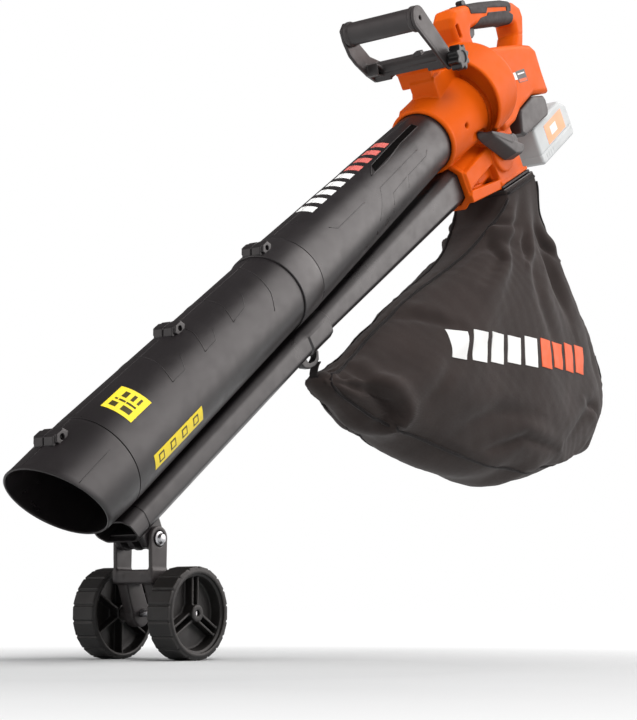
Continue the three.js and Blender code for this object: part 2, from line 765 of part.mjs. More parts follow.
const batteryPack = () =>
  cut(
    join(
      plate(
        [
          [1104, -101], [1110, -98.5], [1222, -98.5], [1237, -112],
          [1238, -160], [1232, -165], [1110, -163], [1104, -157],
        ],
        38, 4,
      ),
      // T-shaped rail
      block([1114, 1182], [-87, -93.8], 19),
      block([1114, 1182], [-90, -100], 12.6),
    ),
    // button recess
    block([1223.4, 1250], [-120, -146], 16),
  );

const batteryButton = () =>
  plate(
    [[1227, -121], [1239, -121], [1240.5, -124], [1240.5, -142], [1239, -145], [1227, -145]],
    15, 1,
  );

// On the right side of the housing.
const strapEye = () =>
  cut(block([1016, 1038], [96, 120], [-25, -19.4], 1), block([1023, 1031], [102, 114], [-30, -10]));

// ---- bag, in the machine frame ------------------------------------------
const BAG_WALL = 3;
// Sections from the mouth to the closed bottom:
// [front [x, z], rear [x, z], half width, roundness from 0 to 1]
const BAG_STATIONS = [
  [machinePoint(950, -141.4), machinePoint(1038, -155), 39, 0.1],
  [[-668, 627], [-868, 690], 60, 0.3],
  [[-640, 590], [-955, 655], 82, 0.7],
  [[-570, 536], [-1035, 592], 98, 1],
  [[-478, 470], [-1092, 520], 104, 1],
  [[-388, 405], [-1106, 440], 105, 1],
  [[-345, 352], [-1104, 380], 102, 1],
  [[-375, 300], [-1060, 318], 90, 1],
  [[-520, 262], [-960, 278], 58, 1],
  [[-640, 244], [-850, 256], 14, 1],
];

// The bag's skin moved in by a depth; its ends are raised by as much, which opens the mouth
// and leaves a floor.
function bagSkin(depth) {
  const signedPower = (value, power) => Math.sign(value) * Math.abs(value) ** power;
  const loops = BAG_STATIONS.map(([front, rear, halfWidth, roundness], i) => {
    const x = (front[0] + rear[0]) / 2;
    const z = (front[1] + rear[1]) / 2;
    const half = Math.hypot(rear[0] - front[0], rear[1] - front[1]) / 2;
    const forwardX = (front[0] - x) / half;
    const forwardZ = (front[1] - z) / half;
    const power = 0.3 + 0.55 * roundness;
    const lift = i === 0 || i === BAG_STATIONS.length - 1 ? depth : 0;
    return Array.from({ length: 24 }, (_, j) => {
      const angle = (2 * Math.PI * j) / 24;
      const along = (half - depth) * signedPower(Math.cos(angle), power);
      const across = (halfWidth - depth) * signedPower(Math.sin(angle), power);
      return [x + forwardX * along, across, z + forwardZ * along + lift];
    });
  });
  return loft(loops);
}

// Zip up the bag's lower back, and its slider.
const bagZip = () =>
  prism([[-1107.4, 470], [-1111.4, 470], [-1112.8, 372], [-1108.8, 372]], 4);
const zipPull = () =>
  prism([[-1113.2, 466], [-1117.6, 466], [-1117.6, 440], [-1113.2, 440]], 3, 0.4);

// ---- assembly -----------------------------------------------------------
const machine = new THREE.Group();
machine.name = "leaf_vacuum_mulcher";
machine.position.set(ORIGIN_SHIFT, 0, 0);
const tubeFrame = new THREE.Group();
tubeFrame.position.set(TUBE_X, 0, TUBE_Z);
tubeFrame.rotation.y = TUBE_ANGLE;
machine.add(tubeFrame);

// Adds pieces given as [name, finish, solid].
function put(group, pieces) {
  for (const [name, finish, solid] of pieces) {
    const material = new THREE.MeshStandardMaterial(FINISH[finish]);
    const mesh = new THREE.Mesh(geometryOf(solid), material);
    mesh.name = name;
    group.add(mesh);
  }
}

const shell = housingShell();
put(tubeFrame, [
  ["upper_tube", "black", upperTube()],
  ["lower_tube", "black", lowerTube()],
  ["suction_nozzle", "black", suctionNozzle()],
  ["nozzle_screw", "steel", smallScrew(NOZZLE_SCREW_S, 61.3)],
  ["joint_screw", "steel", smallScrew(JOINT_SCREW_S, 59.4)],
  ["blower_tube_upper", "black", blowerTubeUpper()],
  ["blower_tube_lower", "black", blowerTubeLower()],
  ["bag_hook", "black", bagHook()],
  ["impeller", "white", impeller()],
  ["motor_shaft", "steel", motorShaft()],
  ["impeller_nut", "steel", impellerNut()],
  ["motor_can", "steel", motorCan()],
  ["bearing_front", "steel", bearing(CAN_FRONT)],
  ["bearing_rear", "steel", bearing(CAN_REAR - BEARING_WIDTH)],
  ["housing_left", "orange", housingHalf(shell, [GAP / 2, 120])],
  ["housing_right", "orange", housingHalf(shell, [-120, -GAP / 2])],
  ["housing_screw", "steel", housingScrew()],
  ["outlet_rim", "rubber", outletRing(43, [947, 1042], [-125.6, -129.4])],
  ["rear_grip_cover", "rubber", rearGripCover()],
  ["trigger", "black", trigger()],
  ["trigger_switch", "black", triggerSwitch()],
  ["lock_button", "black", lockButton()],
  ["control_board", "board", controlBoard()],
  ["selector_lever", "black", selectorLever()],
  ["selector_shaft", "steel", pinY(SELECT_AT, [-38, 46.3], SELECT_R)],
  ["diverter_drum", "grey", diverterDrum()],
  ["front_handle_frame", "grey", frontHandleFrame()],
  ["front_grip", "rubber", frontGrip()],
  ["grip_screw", "steel", pinY(GRIP_AT, [38, 58.5], GRIP_SCREW_R)],
  ["handle_bolt", "steel", handleBolt()],
  ["handle_knob", "black", handleKnob()],
  ["battery_dock", "grey", batteryDock()],
  ["dock_terminals", "brass", block([1100.4, 1112], [-81, -88], 12)],
  ["battery_pack", "pale", batteryPack()],
  ["battery_button", "grey", batteryButton()],
  ["strap_eye", "black", strapEye()],
  ["bag_neck_frame", "black", outletRing(44, [945, 1045], [-130.2, -140])],
]);
put(machine, [
  ["carriage_bracket", "grey", carriageBracket()],
  ["axle", "steel", pinY(AXLE_AT, [-66, 66], AXLE_R)],
  ["axle_spacer_left", "grey", axleSpacer()],
  ["axle_spacer_right", "grey", mirrored(axleSpacer())],
  ["pivot_bolt", "steel", pivotBolt()],
  ["pivot_nut", "steel", pivotNut()],
  ["wheel_left", "black", wheel()],
  ["wheel_right", "black", mirrored(wheel())],
  ["bag_body", "fabric", cut(bagSkin(0), bagSkin(BAG_WALL))],
  ["bag_zip", "black", bagZip()],
  ["zip_pull", "steel", zipPull()],
]);

export default machine;
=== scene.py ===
"""A hand-held leaf blower and vacuum: two slanting tubes, a fan housing, a wheeled carriage, a bag.

World frame, metres: +X towards the nozzle, +Y to the left, +Z up, the floor at Z = 0.
Lengths are millimetres in one of two working frames until a mesh is made:
  tube frame: x runs back from the nozzle seam along the tube axis, y left, z up off the axis
  axle frame: the world frame moved to the floor point under the axle
"""
import math
from contextlib import contextmanager
from functools import reduce

import bmesh
import bpy
import numpy as np
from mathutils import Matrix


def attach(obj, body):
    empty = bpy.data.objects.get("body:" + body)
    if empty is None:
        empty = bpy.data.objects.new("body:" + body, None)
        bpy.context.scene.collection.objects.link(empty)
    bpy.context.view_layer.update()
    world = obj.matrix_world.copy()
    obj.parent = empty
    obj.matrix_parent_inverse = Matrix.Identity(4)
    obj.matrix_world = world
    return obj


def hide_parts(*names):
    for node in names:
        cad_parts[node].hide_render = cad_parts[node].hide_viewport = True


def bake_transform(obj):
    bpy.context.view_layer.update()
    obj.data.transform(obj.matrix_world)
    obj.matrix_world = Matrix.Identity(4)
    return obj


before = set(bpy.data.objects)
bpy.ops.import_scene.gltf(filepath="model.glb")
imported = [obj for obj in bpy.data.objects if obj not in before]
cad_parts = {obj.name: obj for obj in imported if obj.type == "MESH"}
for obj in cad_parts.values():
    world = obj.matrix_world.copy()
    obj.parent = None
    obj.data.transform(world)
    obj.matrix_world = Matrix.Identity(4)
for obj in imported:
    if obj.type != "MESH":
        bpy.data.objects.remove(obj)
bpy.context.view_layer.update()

import openvdb as vdb
from mathutils import Vector
from mathutils.bvhtree import BVHTree

COARSE = 1.0  # factor on every mesh step

# ---------------------------------------------------------------- driving places
TUBE_TILT = 0.652  # radians
COS, SIN = math.cos(TUBE_TILT), math.sin(TUBE_TILT)
TUBE_X, TUBE_Z = 551.33, 206.4  # the tube frame's origin
AXLE_X = 457.43
AXLE_Z = 50
# Tube frame, (x, z)
PIVOT = (14, -106.5)     # carriage bolt
HINGE = (889, 99)        # front handle clamp
GRIP = (849, 177)        # front grip
SELECTOR = (980, -82)    # selector shaft
SLEEVE_X, SLEEVE_END = 380, 429  # thick ring where the two tubes meet
COLLAR_X = 842           # front of the housing


def tube_to_world(points):
    x, y, z = np.asarray(points, float).T
    return np.stack([TUBE_X - COS * x + SIN * z, y, TUBE_Z + SIN * x + COS * z], 1) / 1000.0


def axle_to_world(points):
    x, y, z = np.asarray(points, float).T
    return np.stack([x + AXLE_X, y, z], 1) / 1000.0


def tube_to_axle(x, z):
    return TUBE_X - AXLE_X - COS * x + SIN * z, TUBE_Z + SIN * x + COS * z


def axle_point(x, z, y=0.0):
    """A world point from axle-frame millimetres."""
    return Vector(((x + AXLE_X) / 1000, y / 1000, z / 1000))


# ---------------------------------------------------------------- distance fields
# A field is a signed distance in millimetres, negative inside the piece.
TABLE_STEP = 0.4  # radius step of the lookup table behind turned shapes


def polygon(across, up, points):
    """Distance to a closed outline."""
    nearest, inside = np.inf, False
    for (x0, z0), (x1, z1) in zip(points, points[1:] + points[:1]):
        edge_x, edge_z = x1 - x0, z1 - z0
        off_x, off_z = across - x0, up - z0
        length2 = max(edge_x * edge_x + edge_z * edge_z, 1e-9)
        part = np.clip((off_x * edge_x + off_z * edge_z) / length2, 0, 1)
        nearest = np.minimum(nearest, (off_x - edge_x * part) ** 2 + (off_z - edge_z * part) ** 2)
        spans = ((z0 <= up) & (z1 > up)) | ((z1 <= up) & (z0 > up))
        rise = edge_z if abs(edge_z) > 1e-9 else 1e-9
        inside = inside ^ (spans & (across < x0 + (up - z0) * edge_x / rise))
    return (np.where(inside, -1.0, 1.0) * np.sqrt(nearest)).astype(np.float32)


def extrude(flat, along, start, end, rounding=0.0):
    """A flat field extruded between two places, its edges rounded."""
    side = flat + rounding
    cap = np.abs(along - (start + end) / 2) - (end - start) / 2 + rounding
    outside = np.hypot(np.maximum(side, 0), np.maximum(cap, 0))
    return np.minimum(np.maximum(side, cap), 0) + outside - rounding


def turned(along, radius, profile):
    """A closed (place, radius) profile turned about an axis, read from a table."""
    radii = np.arange(0, float(radius.max()) + 3 * TABLE_STEP, TABLE_STEP)
    table = polygon(along[:, None], radii[None, :], profile)
    place = radius / TABLE_STEP
    i = np.floor(place).astype(np.int32)
    part = (place - i).astype(np.float32)
    return table[:, i] * (1 - part) + table[:, i + 1] * part


def join(first, second, blend):
    """Union with a rounded inner corner."""
    share = np.clip(0.5 + 0.5 * (second - first) / blend, 0, 1)
    return second + (first - second) * share - blend * share * (1 - share)


def join_all(body, *parts):
    """Joins (field, blend) pairs one after another."""
    for part, blend in parts:
        body = join(body, part, blend)
    return body


def overlap(first, second, blend):
    """Intersection with a rounded edge."""
    return -join(-first, -second, blend)


def union(*fields):
    return reduce(np.minimum, fields)


def cut(body, *holes):
    for hole in holes:
        body = np.maximum(body, -hole)
    return body


class Grid:
    """Sample places as x, y and z arrays that broadcast together. Outlines are (x, z) points."""

    def __init__(self, x, y, z):
        self.x, self.y, self.z = x, y, z

    @property
    def both(self):
        """The same grid folded onto +y, so one shape appears on both sides."""
        return Grid(self.x, np.abs(self.y), self.z)

    def outline(self, points):
        return polygon(self.x, self.z, points)

    def circle(self, centre, radius):
        return np.hypot(self.x - centre[0], self.z - centre[1]) - radius

    def slab(self, flat, y0, y1, rounding=0.0):
        return extrude(flat, self.y, y0, y1, rounding)

    def prism(self, points, y0, y1, rounding=0.0):
        return self.slab(self.outline(points), y0, y1, rounding)

    def disc(self, centre, radius, y0, y1, rounding=0.0):
        return self.slab(self.circle(centre, radius), y0, y1, rounding)

    def box(self, low, high, rounding=0.0):
        gaps = [np.abs(at - (start + end) / 2) - (end - start) / 2 + rounding
                for at, start, end in zip((self.x, self.y, self.z), low, high)]
        outside = np.sqrt(sum(np.maximum(gap, 0) ** 2 for gap in gaps))
        inside = np.minimum(np.maximum(np.maximum(gaps[0], gaps[1]), gaps[2]), 0)
        return outside + inside - rounding

    def octagon(self, half_width, top, bottom, corner):
        """An endless eight-sided bar along x."""
        side = np.abs(self.y) - half_width
        cap = np.abs(self.z - (top + bottom) / 2) - (top - bottom) / 2
        return np.maximum(np.maximum(side, cap), (side + cap + corner) / math.sqrt(2))

    def link(self, start, start_radius, end, end_radius):
        """A flat tapered link between two circles."""
        span_x, span_z = end[0] - start[0], end[1] - start[1]
        part = (self.x - start[0]) * span_x + (self.z - start[1]) * span_z
        part = np.clip(part / (span_x * span_x + span_z * span_z), 0, 1)
        off = np.hypot(self.x - start[0] - span_x * part, self.z - start[1] - span_z * part)
        return off - (start_radius + (end_radius - start_radius) * part)

    def turned_x(self, profile, centre=(0, 0)):
        """An (x, radius) profile turned about an x axis through centre (y, z)."""
        radius = np.sqrt((self.y - centre[0]) ** 2 + (self.z - centre[1]) ** 2)[0]
        return turned(self.x[:, 0, 0], radius, profile)

    def turned_y(self, profile, centre=(0, 0)):
        """A (y, radius) profile turned about a y axis through centre (x, z)."""
        radius = np.sqrt((self.x - centre[0]) ** 2 + (self.z - centre[1]) ** 2)[:, 0, :]
        return np.swapaxes(turned(self.y[0, :, 0], radius, profile), 0, 1)


# ---------------------------------------------------------------- meshes
def signed_volume(points, quads):
    a, b, c, d = (points[quads[:, k]] for k in range(4))
    first = np.einsum("ij,ij->", a, np.cross(b, c))
    return float(first + np.einsum("ij,ij->", a, np.cross(c, d)))


def mesh_from(name, points, faces, closed=True):
    """A smooth mesh object from world points and quads. A closed one is turned outwards."""
    faces = np.asarray(faces, np.int32)
    if closed and signed_volume(points, faces) < 0:
        faces = faces[:, ::-1]
    mesh = bpy.data.meshes.new(name)
    count, sides = faces.shape
    mesh.vertices.add(len(points))
    mesh.vertices.foreach_set("co", np.asarray(points, np.float32).ravel())
    mesh.loops.add(count * sides)
    mesh.loops.foreach_set("vertex_index", np.ascontiguousarray(faces).ravel())
    mesh.polygons.add(count)
    mesh.polygons.foreach_set("loop_start", np.arange(0, count * sides, sides, dtype=np.int32))
    mesh.update(calc_edges=True)
    mesh.validate()
    mesh.shade_smooth()
    piece = bpy.data.objects.new(name, mesh)
    bpy.context.scene.collection.objects.link(piece)
    return piece


def field_mesh(name, field, low, high, step, to_world=tube_to_world):
    """Meshes the zero surface of a field inside a box, as a closed mesh."""
    step = step * COARSE
    counts = [int(math.ceil((high[k] - low[k]) / step)) + 1 for k in range(3)]
    x, y, z = ((low[k] + step * np.arange(counts[k])).astype(np.float32) for k in range(3))
    grid = Grid(x[:, None, None], y[None, :, None], z[None, None, :])
    band = np.float32(3 * step)
    values = np.clip(np.broadcast_to(field(grid), counts), -band, band).astype(np.float32)
    for k in range(3):
        for end in (0, -1):
            values.swapaxes(0, k)[end] = band
    volume = vdb.FloatGrid(float(band))
    volume.copyFromArray(np.ascontiguousarray(values))
    points, quads = volume.convertToQuads()
    points = points.astype(np.float64) * step + np.array(low)[None]
    return mesh_from(name, to_world(points), np.asarray(quads))


@contextmanager
def edited(piece):
    """Opens a piece's mesh for editing and writes it back."""
    work = bmesh.new()
    work.from_mesh(piece.data)
    yield work
    work.to_mesh(piece.data)
    work.free()


def open_edges(work):
    return [edge for edge in work.edges if len(edge.link_faces) == 1]


def face_outwards(work):
    bmesh.ops.recalc_face_normals(work, faces=work.faces)
    for face in work.faces:
        face.smooth = True


def sharpen(piece, degrees):
    """Marks edges sharper than an angle, so flat faces stay flat."""
    with edited(piece) as work:
        bmesh.ops.remove_doubles(work, verts=work.verts, dist=1e-6)
        for edge in work.edges:
            paired = len(edge.link_faces) == 2
            edge.smooth = paired and edge.calc_face_angle(0) < math.radians(degrees)
    return piece


def loops_mesh(name, loops, to_world=tube_to_world, ring=False, cap=True):
    """A skin over matching closed loops. ring joins the last loop to the first."""
    loops = [np.asarray(loop, float) for loop in loops]
    size, count = len(loops[0]), len(loops)
    faces = []
    for i in range(count if ring else count - 1):
        here, there = i * size, ((i + 1) % count) * size
        for j in range(size):
            k = (j + 1) % size
            faces.append((here + j, there + j, there + k, here + k))
    piece = mesh_from(name, to_world(np.concatenate(loops)), faces, closed=False)
    with edited(piece) as work:
        if cap and not ring:
            bmesh.ops.holes_fill(work, edges=open_edges(work), sides=0)
        face_outwards(work)
    return piece


def sheet(name, top, bottom, columns, rows, to_world=tube_to_world):
    """A closed thin sheet between two matching grids of points."""
    under = columns * rows
    faces = []
    for i in range(columns - 1):
        for j in range(rows - 1):
            a, b = i * rows + j, (i + 1) * rows + j
            faces.append((a, b, b + 1, a + 1))
            faces.append((under + a + 1, under + b + 1, under + b, under + a))
    rim = [i * rows for i in range(columns - 1)]
    rim += [(columns - 1) * rows + j for j in range(rows - 1)]
    rim += [i * rows + rows - 1 for i in range(columns - 1, 0, -1)]
    rim += list(range(rows - 1, 0, -1))
    for a, b in zip(rim, rim[1:] + rim[:1]):
        faces.append((b, a, under + a, under + b))
    points = to_world(np.array(list(top) + list(bottom), float))
    return sharpen(mesh_from(name, points, faces), 50)


def spread(corners, columns, rows):
    """Points spread evenly over a four-cornered patch, column by column."""
    a, b, c, d = (np.array(corner, float) for corner in corners)
    for i in range(columns):
        for j in range(rows):
            u, v = i / (columns - 1), j / (rows - 1)
            yield (1 - u) * (1 - v) * a + u * (1 - v) * b + u * v * c + (1 - u) * v * d


def rectangle(start, end, side0, side1):
    return [(start, side0), (end, side0), (end, side1), (start, side1)]


def around(x, radius, angle):
    """A tube-frame point round the tube axis, from +y towards +z."""
    return x, radius * math.cos(angle), radius * math.sin(angle)


def lathe(name, profile, segments=112):
    """A closed (x, radius) profile turned about the tube axis."""
    loops = [[around(x, radius, 2 * math.pi * k / segments) for x, radius in profile]
             for k in range(segments)]
    return sharpen(loops_mesh(name, loops, ring=True), 28)


def lathe_y(name, profile, centre, segments):
    """An open (y, radius) profile turned about a y axis in the axle frame."""
    turns = [2 * math.pi * k / segments for k in range(segments)]
    loops = [[(centre[0] + radius * math.cos(turn), y, centre[1] + radius * math.sin(turn))
              for turn in turns] for y, radius in profile]
    return sharpen(loops_mesh(name, loops, axle_to_world), 28)


def dress(piece, material, body, node, replaces=False):
    """Gives a piece its material, moving body and node."""
    piece.data.materials.clear()
    piece.data.materials.append(material)
    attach(piece, body)
    if replaces:
        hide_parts(node)


def stand_in(piece, material, body, node):
    """Dresses a piece that takes the place of its CAD node."""
    dress(piece, material, body, node, replaces=True)


def carve(name, field, low, high, step, material, node, body="machine",
          to_world=tube_to_world, replaces=True):
    dress(field_mesh(name, field, low, high, step, to_world), material, body, node, replaces)


def vectors(mesh, kind="co"):
    values = np.empty(len(mesh.vertices) * 3, np.float32)
    mesh.vertices.foreach_get(kind, values)
    return values.reshape(-1, 3)


def move_vertices(mesh, points):
    mesh.vertices.foreach_set("co", points.astype(np.float32).ravel())
    mesh.update()


# ---------------------------------------------------------------- materials
def srgb(*levels):
    """Linear colour from 0-255 levels."""
    parts = (level / 255 for level in levels)
    return tuple(c / 12.92 if c <= 0.04045 else ((c + 0.055) / 1.055) ** 2.4 for c in parts) + (1.0,)


def shade(color, factor):
    return tuple(c * factor for c in color[:3]) + (1,)


class Tree:
    """Short ways to build a node tree."""

    def __init__(self, owner):
        owner.use_nodes = True
        self.nodes, self.links = owner.node_tree.nodes, owner.node_tree.links
        self.nodes.clear()

    def new(self, kind, **settings):
        node = self.nodes.new(kind)
        for key, value in settings.items():
            setattr(node, key, value)
        return node

    def feed(self, socket, value):
        """Links a socket, or sets a plain value."""
        if isinstance(value, bpy.types.NodeSocket):
            self.links.new(value, socket)
        else:
            socket.default_value = value

    def ramp(self, value, low=0.0, high=1.0, start=0.35, end=0.65, **settings):
        """Maps start..end to low..high."""
        node = self.new("ShaderNodeMapRange", **settings)
        for key, number in (("From Min", start), ("From Max", end), ("To Min", low),
                            ("To Max", high), ("Value", value)):
            self.feed(node.inputs[key], number)
        return node.outputs[0]

    def math(self, operation, *values):
        node = self.new("ShaderNodeMath", operation=operation)
        for socket, value in zip(node.inputs, values):
            self.feed(socket, value)
        return node.outputs[0]


class Surface(Tree):
    """A material with one principled shader."""

    def __init__(self, name):
        self.material = bpy.data.materials.new(name)
        super().__init__(self.material)
        self.out = self.new("ShaderNodeOutputMaterial")
        self.shader = self.new("ShaderNodeBsdfPrincipled")
        self.feed(self.out.inputs[0], self.shader.outputs[0])
        self.place = self.new("ShaderNodeTexCoord").outputs["Object"]

    def noise(self, scale, detail=3, rough=0.55):
        node = self.new("ShaderNodeTexNoise")
        node.inputs["Scale"].default_value = scale
        node.inputs["Detail"].default_value = detail
        node.inputs["Roughness"].default_value = rough
        self.feed(node.inputs["Vector"], self.place)
        return node.outputs["Fac"]

    def mix(self, factor, first, second):
        node = self.new("ShaderNodeMix", data_type="RGBA")
        self.feed(node.inputs["Factor"], factor)
        self.feed(node.inputs[6], first)
        self.feed(node.inputs[7], second)
        return node.outputs[2]

    def bump(self, height, strength, distance, normal=None):
        node = self.new("ShaderNodeBump")
        node.inputs["Strength"].default_value = strength
        node.inputs["Distance"].default_value = distance
        self.feed(node.inputs["Height"], height)
        if normal is not None:
            self.feed(node.inputs["Normal"], normal)
        return node.outputs[0]

    def wear_and_highlight(self, start, end):
        """Picks out the outer edges, for lightening that is partly rubbed wear and partly painted
        highlight.
        """
        geometry = self.new("ShaderNodeNewGeometry")
        return self.ramp(geometry.outputs["Pointiness"], start=start, end=end)

    def set(self, **values):
        for key, value in values.items():
            self.feed(self.shader.inputs[key.replace("_", " ")], value)


def plastic(name, color, rough=0.42, grain=900, grain_depth=0.00003, spread=0.06, wear_and_highlight=0.25,
            edge=(0.5, 0.5, 0.5, 1), spec=0.5):
    """Moulded plastic with fine grain, slow colour and gloss variation, and edges lightened partly as
    rubbed wear, partly as a painted highlight.

    grain is the texture's scale, spread the colour variation, wear_and_highlight the strength of the
    edge lightening: rubbed wear and painted highlight.
    """
    n = Surface(name)
    big = n.noise(scale=9, detail=4)
    mid = n.noise(scale=60, detail=5)
    base = n.mix(n.ramp(big), shade(color, 1 - 1.6 * spread), shade(color, 1 + spread))
    # convex edges lightened towards the edge colour: partly rubbed wear, partly painted highlight
    worn_and_lit = n.math("MULTIPLY", n.wear_and_highlight(start=0.515, end=0.6), wear_and_highlight)
    n.set(Base_Color=n.mix(worn_and_lit, base, edge))
    n.set(Roughness=n.math("ADD", n.ramp(mid, low=rough - 0.05, high=rough + 0.06),
                           n.math("MULTIPLY", n.ramp(big, low=-0.03, high=0.03), 1.0)))
    fine = n.noise(scale=grain, detail=2)
    waves = n.bump(n.noise(scale=30, detail=2), strength=0.25, distance=0.0002)
    n.set(Normal=n.bump(fine, strength=0.5, distance=grain_depth, normal=waves))
    n.set(Specular_IOR_Level=spec)
    return n.material


def metal(name, color, rough):
    n = Surface(name)
    cloudy = n.ramp(n.noise(scale=40, detail=4))
    n.set(Base_Color=n.mix(cloudy, shade(color, 0.86), color), Metallic=1.0)
    n.set(Roughness=n.ramp(n.noise(scale=160, detail=4), low=rough - 0.06, high=rough + 0.1))
    n.set(Normal=n.bump(n.noise(scale=700, detail=2), strength=0.2, distance=0.00003))
    return n.material


def rubber(name, color, rough=0.72):
    """Dull rubber with a pebbled surface."""
    n = Surface(name)
    base = n.mix(n.ramp(n.noise(scale=25, detail=4)), shade(color, 0.8), color)
    # convex edges lightened towards pale grey: partly rubbed wear, partly painted highlight
    worn_and_lit = n.math("MULTIPLY", n.wear_and_highlight(start=0.53, end=0.63), 0.3)
    n.set(Base_Color=n.mix(worn_and_lit, base, (0.22, 0.21, 0.2, 1)),
          Roughness=n.ramp(n.noise(scale=120), low=rough - 0.08, high=rough + 0.08))
    pebbles = n.new("ShaderNodeTexVoronoi")
    pebbles.inputs["Scale"].default_value = 1100
    n.feed(pebbles.inputs["Vector"], n.place)
    n.set(Normal=n.bump(pebbles.outputs["Distance"], strength=0.35, distance=0.00008))
    n.set(Specular_IOR_Level=0.35)
    return n.material


def cloth(name, color, pitch=0.0011):
    """Woven cloth: crossing sine threads one pitch (metres) apart, slubs and a soft sheen."""
    n = Surface(name)
    place = n.new("ShaderNodeSeparateXYZ")
    n.feed(place.inputs[0], n.place)
    x, y, z = place.outputs

    def threads(across, lean):
        slanted = n.math("ADD", across, n.math("MULTIPLY", y, lean))
        return n.math("SINE", n.math("MULTIPLY", slanted, 2 * math.pi / pitch))

    warp = threads(x, lean=0.8)
    weave = n.math("MULTIPLY", warp, threads(z, lean=0.3))
    slub = n.noise(scale=260, detail=4, rough=0.7)
    big = n.noise(scale=14, detail=5, rough=0.6)
    base = n.mix(n.ramp(big, start=0.3, end=0.7), shade(color, 0.78), shade(color, 1.18))
    pale = n.math("MULTIPLY", n.ramp(slub, start=0.4, end=0.75), 0.35)
    base = n.mix(pale, base, shade(color, 1.5))
    weave01 = n.math("ADD", n.math("MULTIPLY", weave, 0.5), 0.5)
    base = n.mix(n.math("MULTIPLY", weave01, 0.10), base, shade(color, 0.55))
    n.set(Base_Color=base, Roughness=n.ramp(slub, low=0.78, high=0.95), Sheen_Weight=0.08,
          Sheen_Roughness=0.5, Specular_IOR_Level=0.2)
    creases = n.bump(n.noise(scale=90, detail=5, rough=0.65), strength=0.35, distance=0.0006)
    n.set(Normal=n.bump(weave, strength=0.12, distance=0.00012, normal=creases))
    return n.material


ORANGE = plastic("orange_plastic", srgb(198, 80, 8), grain=800, spread=0.04, wear_and_highlight=0.06,
                 edge=srgb(235, 120, 50), spec=0.1)
TUBE = plastic("tube_plastic", srgb(30, 27, 28), rough=0.34, grain=700, grain_depth=0.00002,
               spread=0.12, wear_and_highlight=0.08, edge=srgb(90, 86, 86))
DARK = plastic("dark_plastic", srgb(44, 40, 40), rough=0.46, grain=650, grain_depth=0.00005,
               spread=0.12, wear_and_highlight=0.15, edge=srgb(100, 96, 94))
BLACK = plastic("black_plastic", srgb(18, 16, 17), rough=0.4, grain=800, spread=0.15, wear_and_highlight=0.08,
                edge=srgb(70, 68, 66))
WHEEL = plastic("wheel_plastic", srgb(17, 15, 14), rough=0.55, grain=500, grain_depth=0.00007,
                spread=0.15, wear_and_highlight=0.2, edge=srgb(95, 90, 86))
# near-black matt sheet that paints the shadow inside the tube's outlined slots
SLOT_SHADOW = plastic("slot_shadow", srgb(7, 6, 6), rough=0.75, spread=0.05, wear_and_highlight=0.0, spec=0.04)
RUBBER = rubber("grip_rubber", srgb(52, 48, 48))
CLOTH = cloth("bag_cloth", srgb(44, 37, 35))
PIPING = cloth("bag_piping", srgb(24, 20, 20), pitch=0.0016)
PALE = plastic("battery_plastic", srgb(172, 174, 174), rough=0.5, spread=0.03, wear_and_highlight=0.1,
               edge=srgb(235, 235, 235))
PALE_LABEL = plastic("battery_label", srgb(226, 150, 112), rough=0.45, spread=0.03, wear_and_highlight=0.0)
YELLOW = plastic("label_yellow", srgb(232, 206, 30), rough=0.38, grain=1200, spread=0.04, wear_and_highlight=0.0)
INK = plastic("label_ink", srgb(60, 54, 20), rough=0.5, spread=0.05, wear_and_highlight=0.0)
WHITE = plastic("print_white", srgb(216, 215, 213), rough=0.5, spread=0.03, wear_and_highlight=0.0)
RED = plastic("print_orange", srgb(206, 78, 22), rough=0.5, spread=0.04, wear_and_highlight=0.0)
PALE_RED = plastic("print_pale_red", srgb(205, 100, 92), rough=0.45, wear_and_highlight=0.0)
NYLON = plastic("fan_nylon", srgb(215, 214, 208), rough=0.45, spread=0.04)
STEEL = metal("zinc_steel", srgb(205, 205, 208), rough=0.28)
BRASS = metal("contact_brass", srgb(214, 178, 104), rough=0.25)
BOARD = plastic("board_green", srgb(30, 92, 58), rough=0.5, spread=0.15)

# CAD nodes that are not black
NODE_MATERIALS = {name: material for material, names in (
    (STEEL, "motor_can bearing_front bearing_rear motor_shaft impeller_nut housing_screw"
            " nozzle_screw joint_screw handle_bolt axle pivot_bolt pivot_nut selector_shaft"),
    (DARK, "axle_spacer_left axle_spacer_right diverter_drum"),
    (NYLON, "impeller"),
    (BOARD, "control_board"),
    (BRASS, "dock_terminals"),
) for name in names.split()}
for name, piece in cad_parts.items():
    piece.data.materials.clear()
    piece.data.materials.append(NODE_MATERIALS.get(name, BLACK))


# ---------------------------------------------------------------- main tube
def tube_radius(x):
    """Outer radius of nozzle, lower tube, sleeve and upper tube."""
    seam_radius = 58.8
    if x < 0:
        return seam_radius + x / 70 * 1.8
    if x < SLEEVE_X:
        return seam_radius - 5.7 * x / 374
    if x < SLEEVE_END:
        return 55.3
    return 54.7 - 9.8 * (x - SLEEVE_END) / (COLLAR_X - SLEEVE_END)


# (x, radius) profiles: along the outside, then back along the bore
UPPER_TUBE = [
    (380, 54.3), (380.8, 55.3), (427.2, 55.2), (428, 54.9), (428.4, 54.0), (429.4, 54.0),
    (429.8, 54.65), (836, 45.0), (842, 44.9), (880, 44.9),
    (880, 42.4), (842, 42.4), (433, 52.2), (431, 53.25), (380, 53.3)]
LOWER_TUBE = [
    (0.4, 57.6), (0.9, 58.7), (3, 58.75), (374, 53.1), (428, 52.9),
    (428, 50.4), (34, 55.2), (32, 56.3), (0.4, 56.4)]
stand_in(lathe("upper_tube_skin", UPPER_TUBE), TUBE, "machine", "upper_tube")
stand_in(lathe("lower_tube_skin", LOWER_TUBE), TUBE, "machine", "lower_tube")


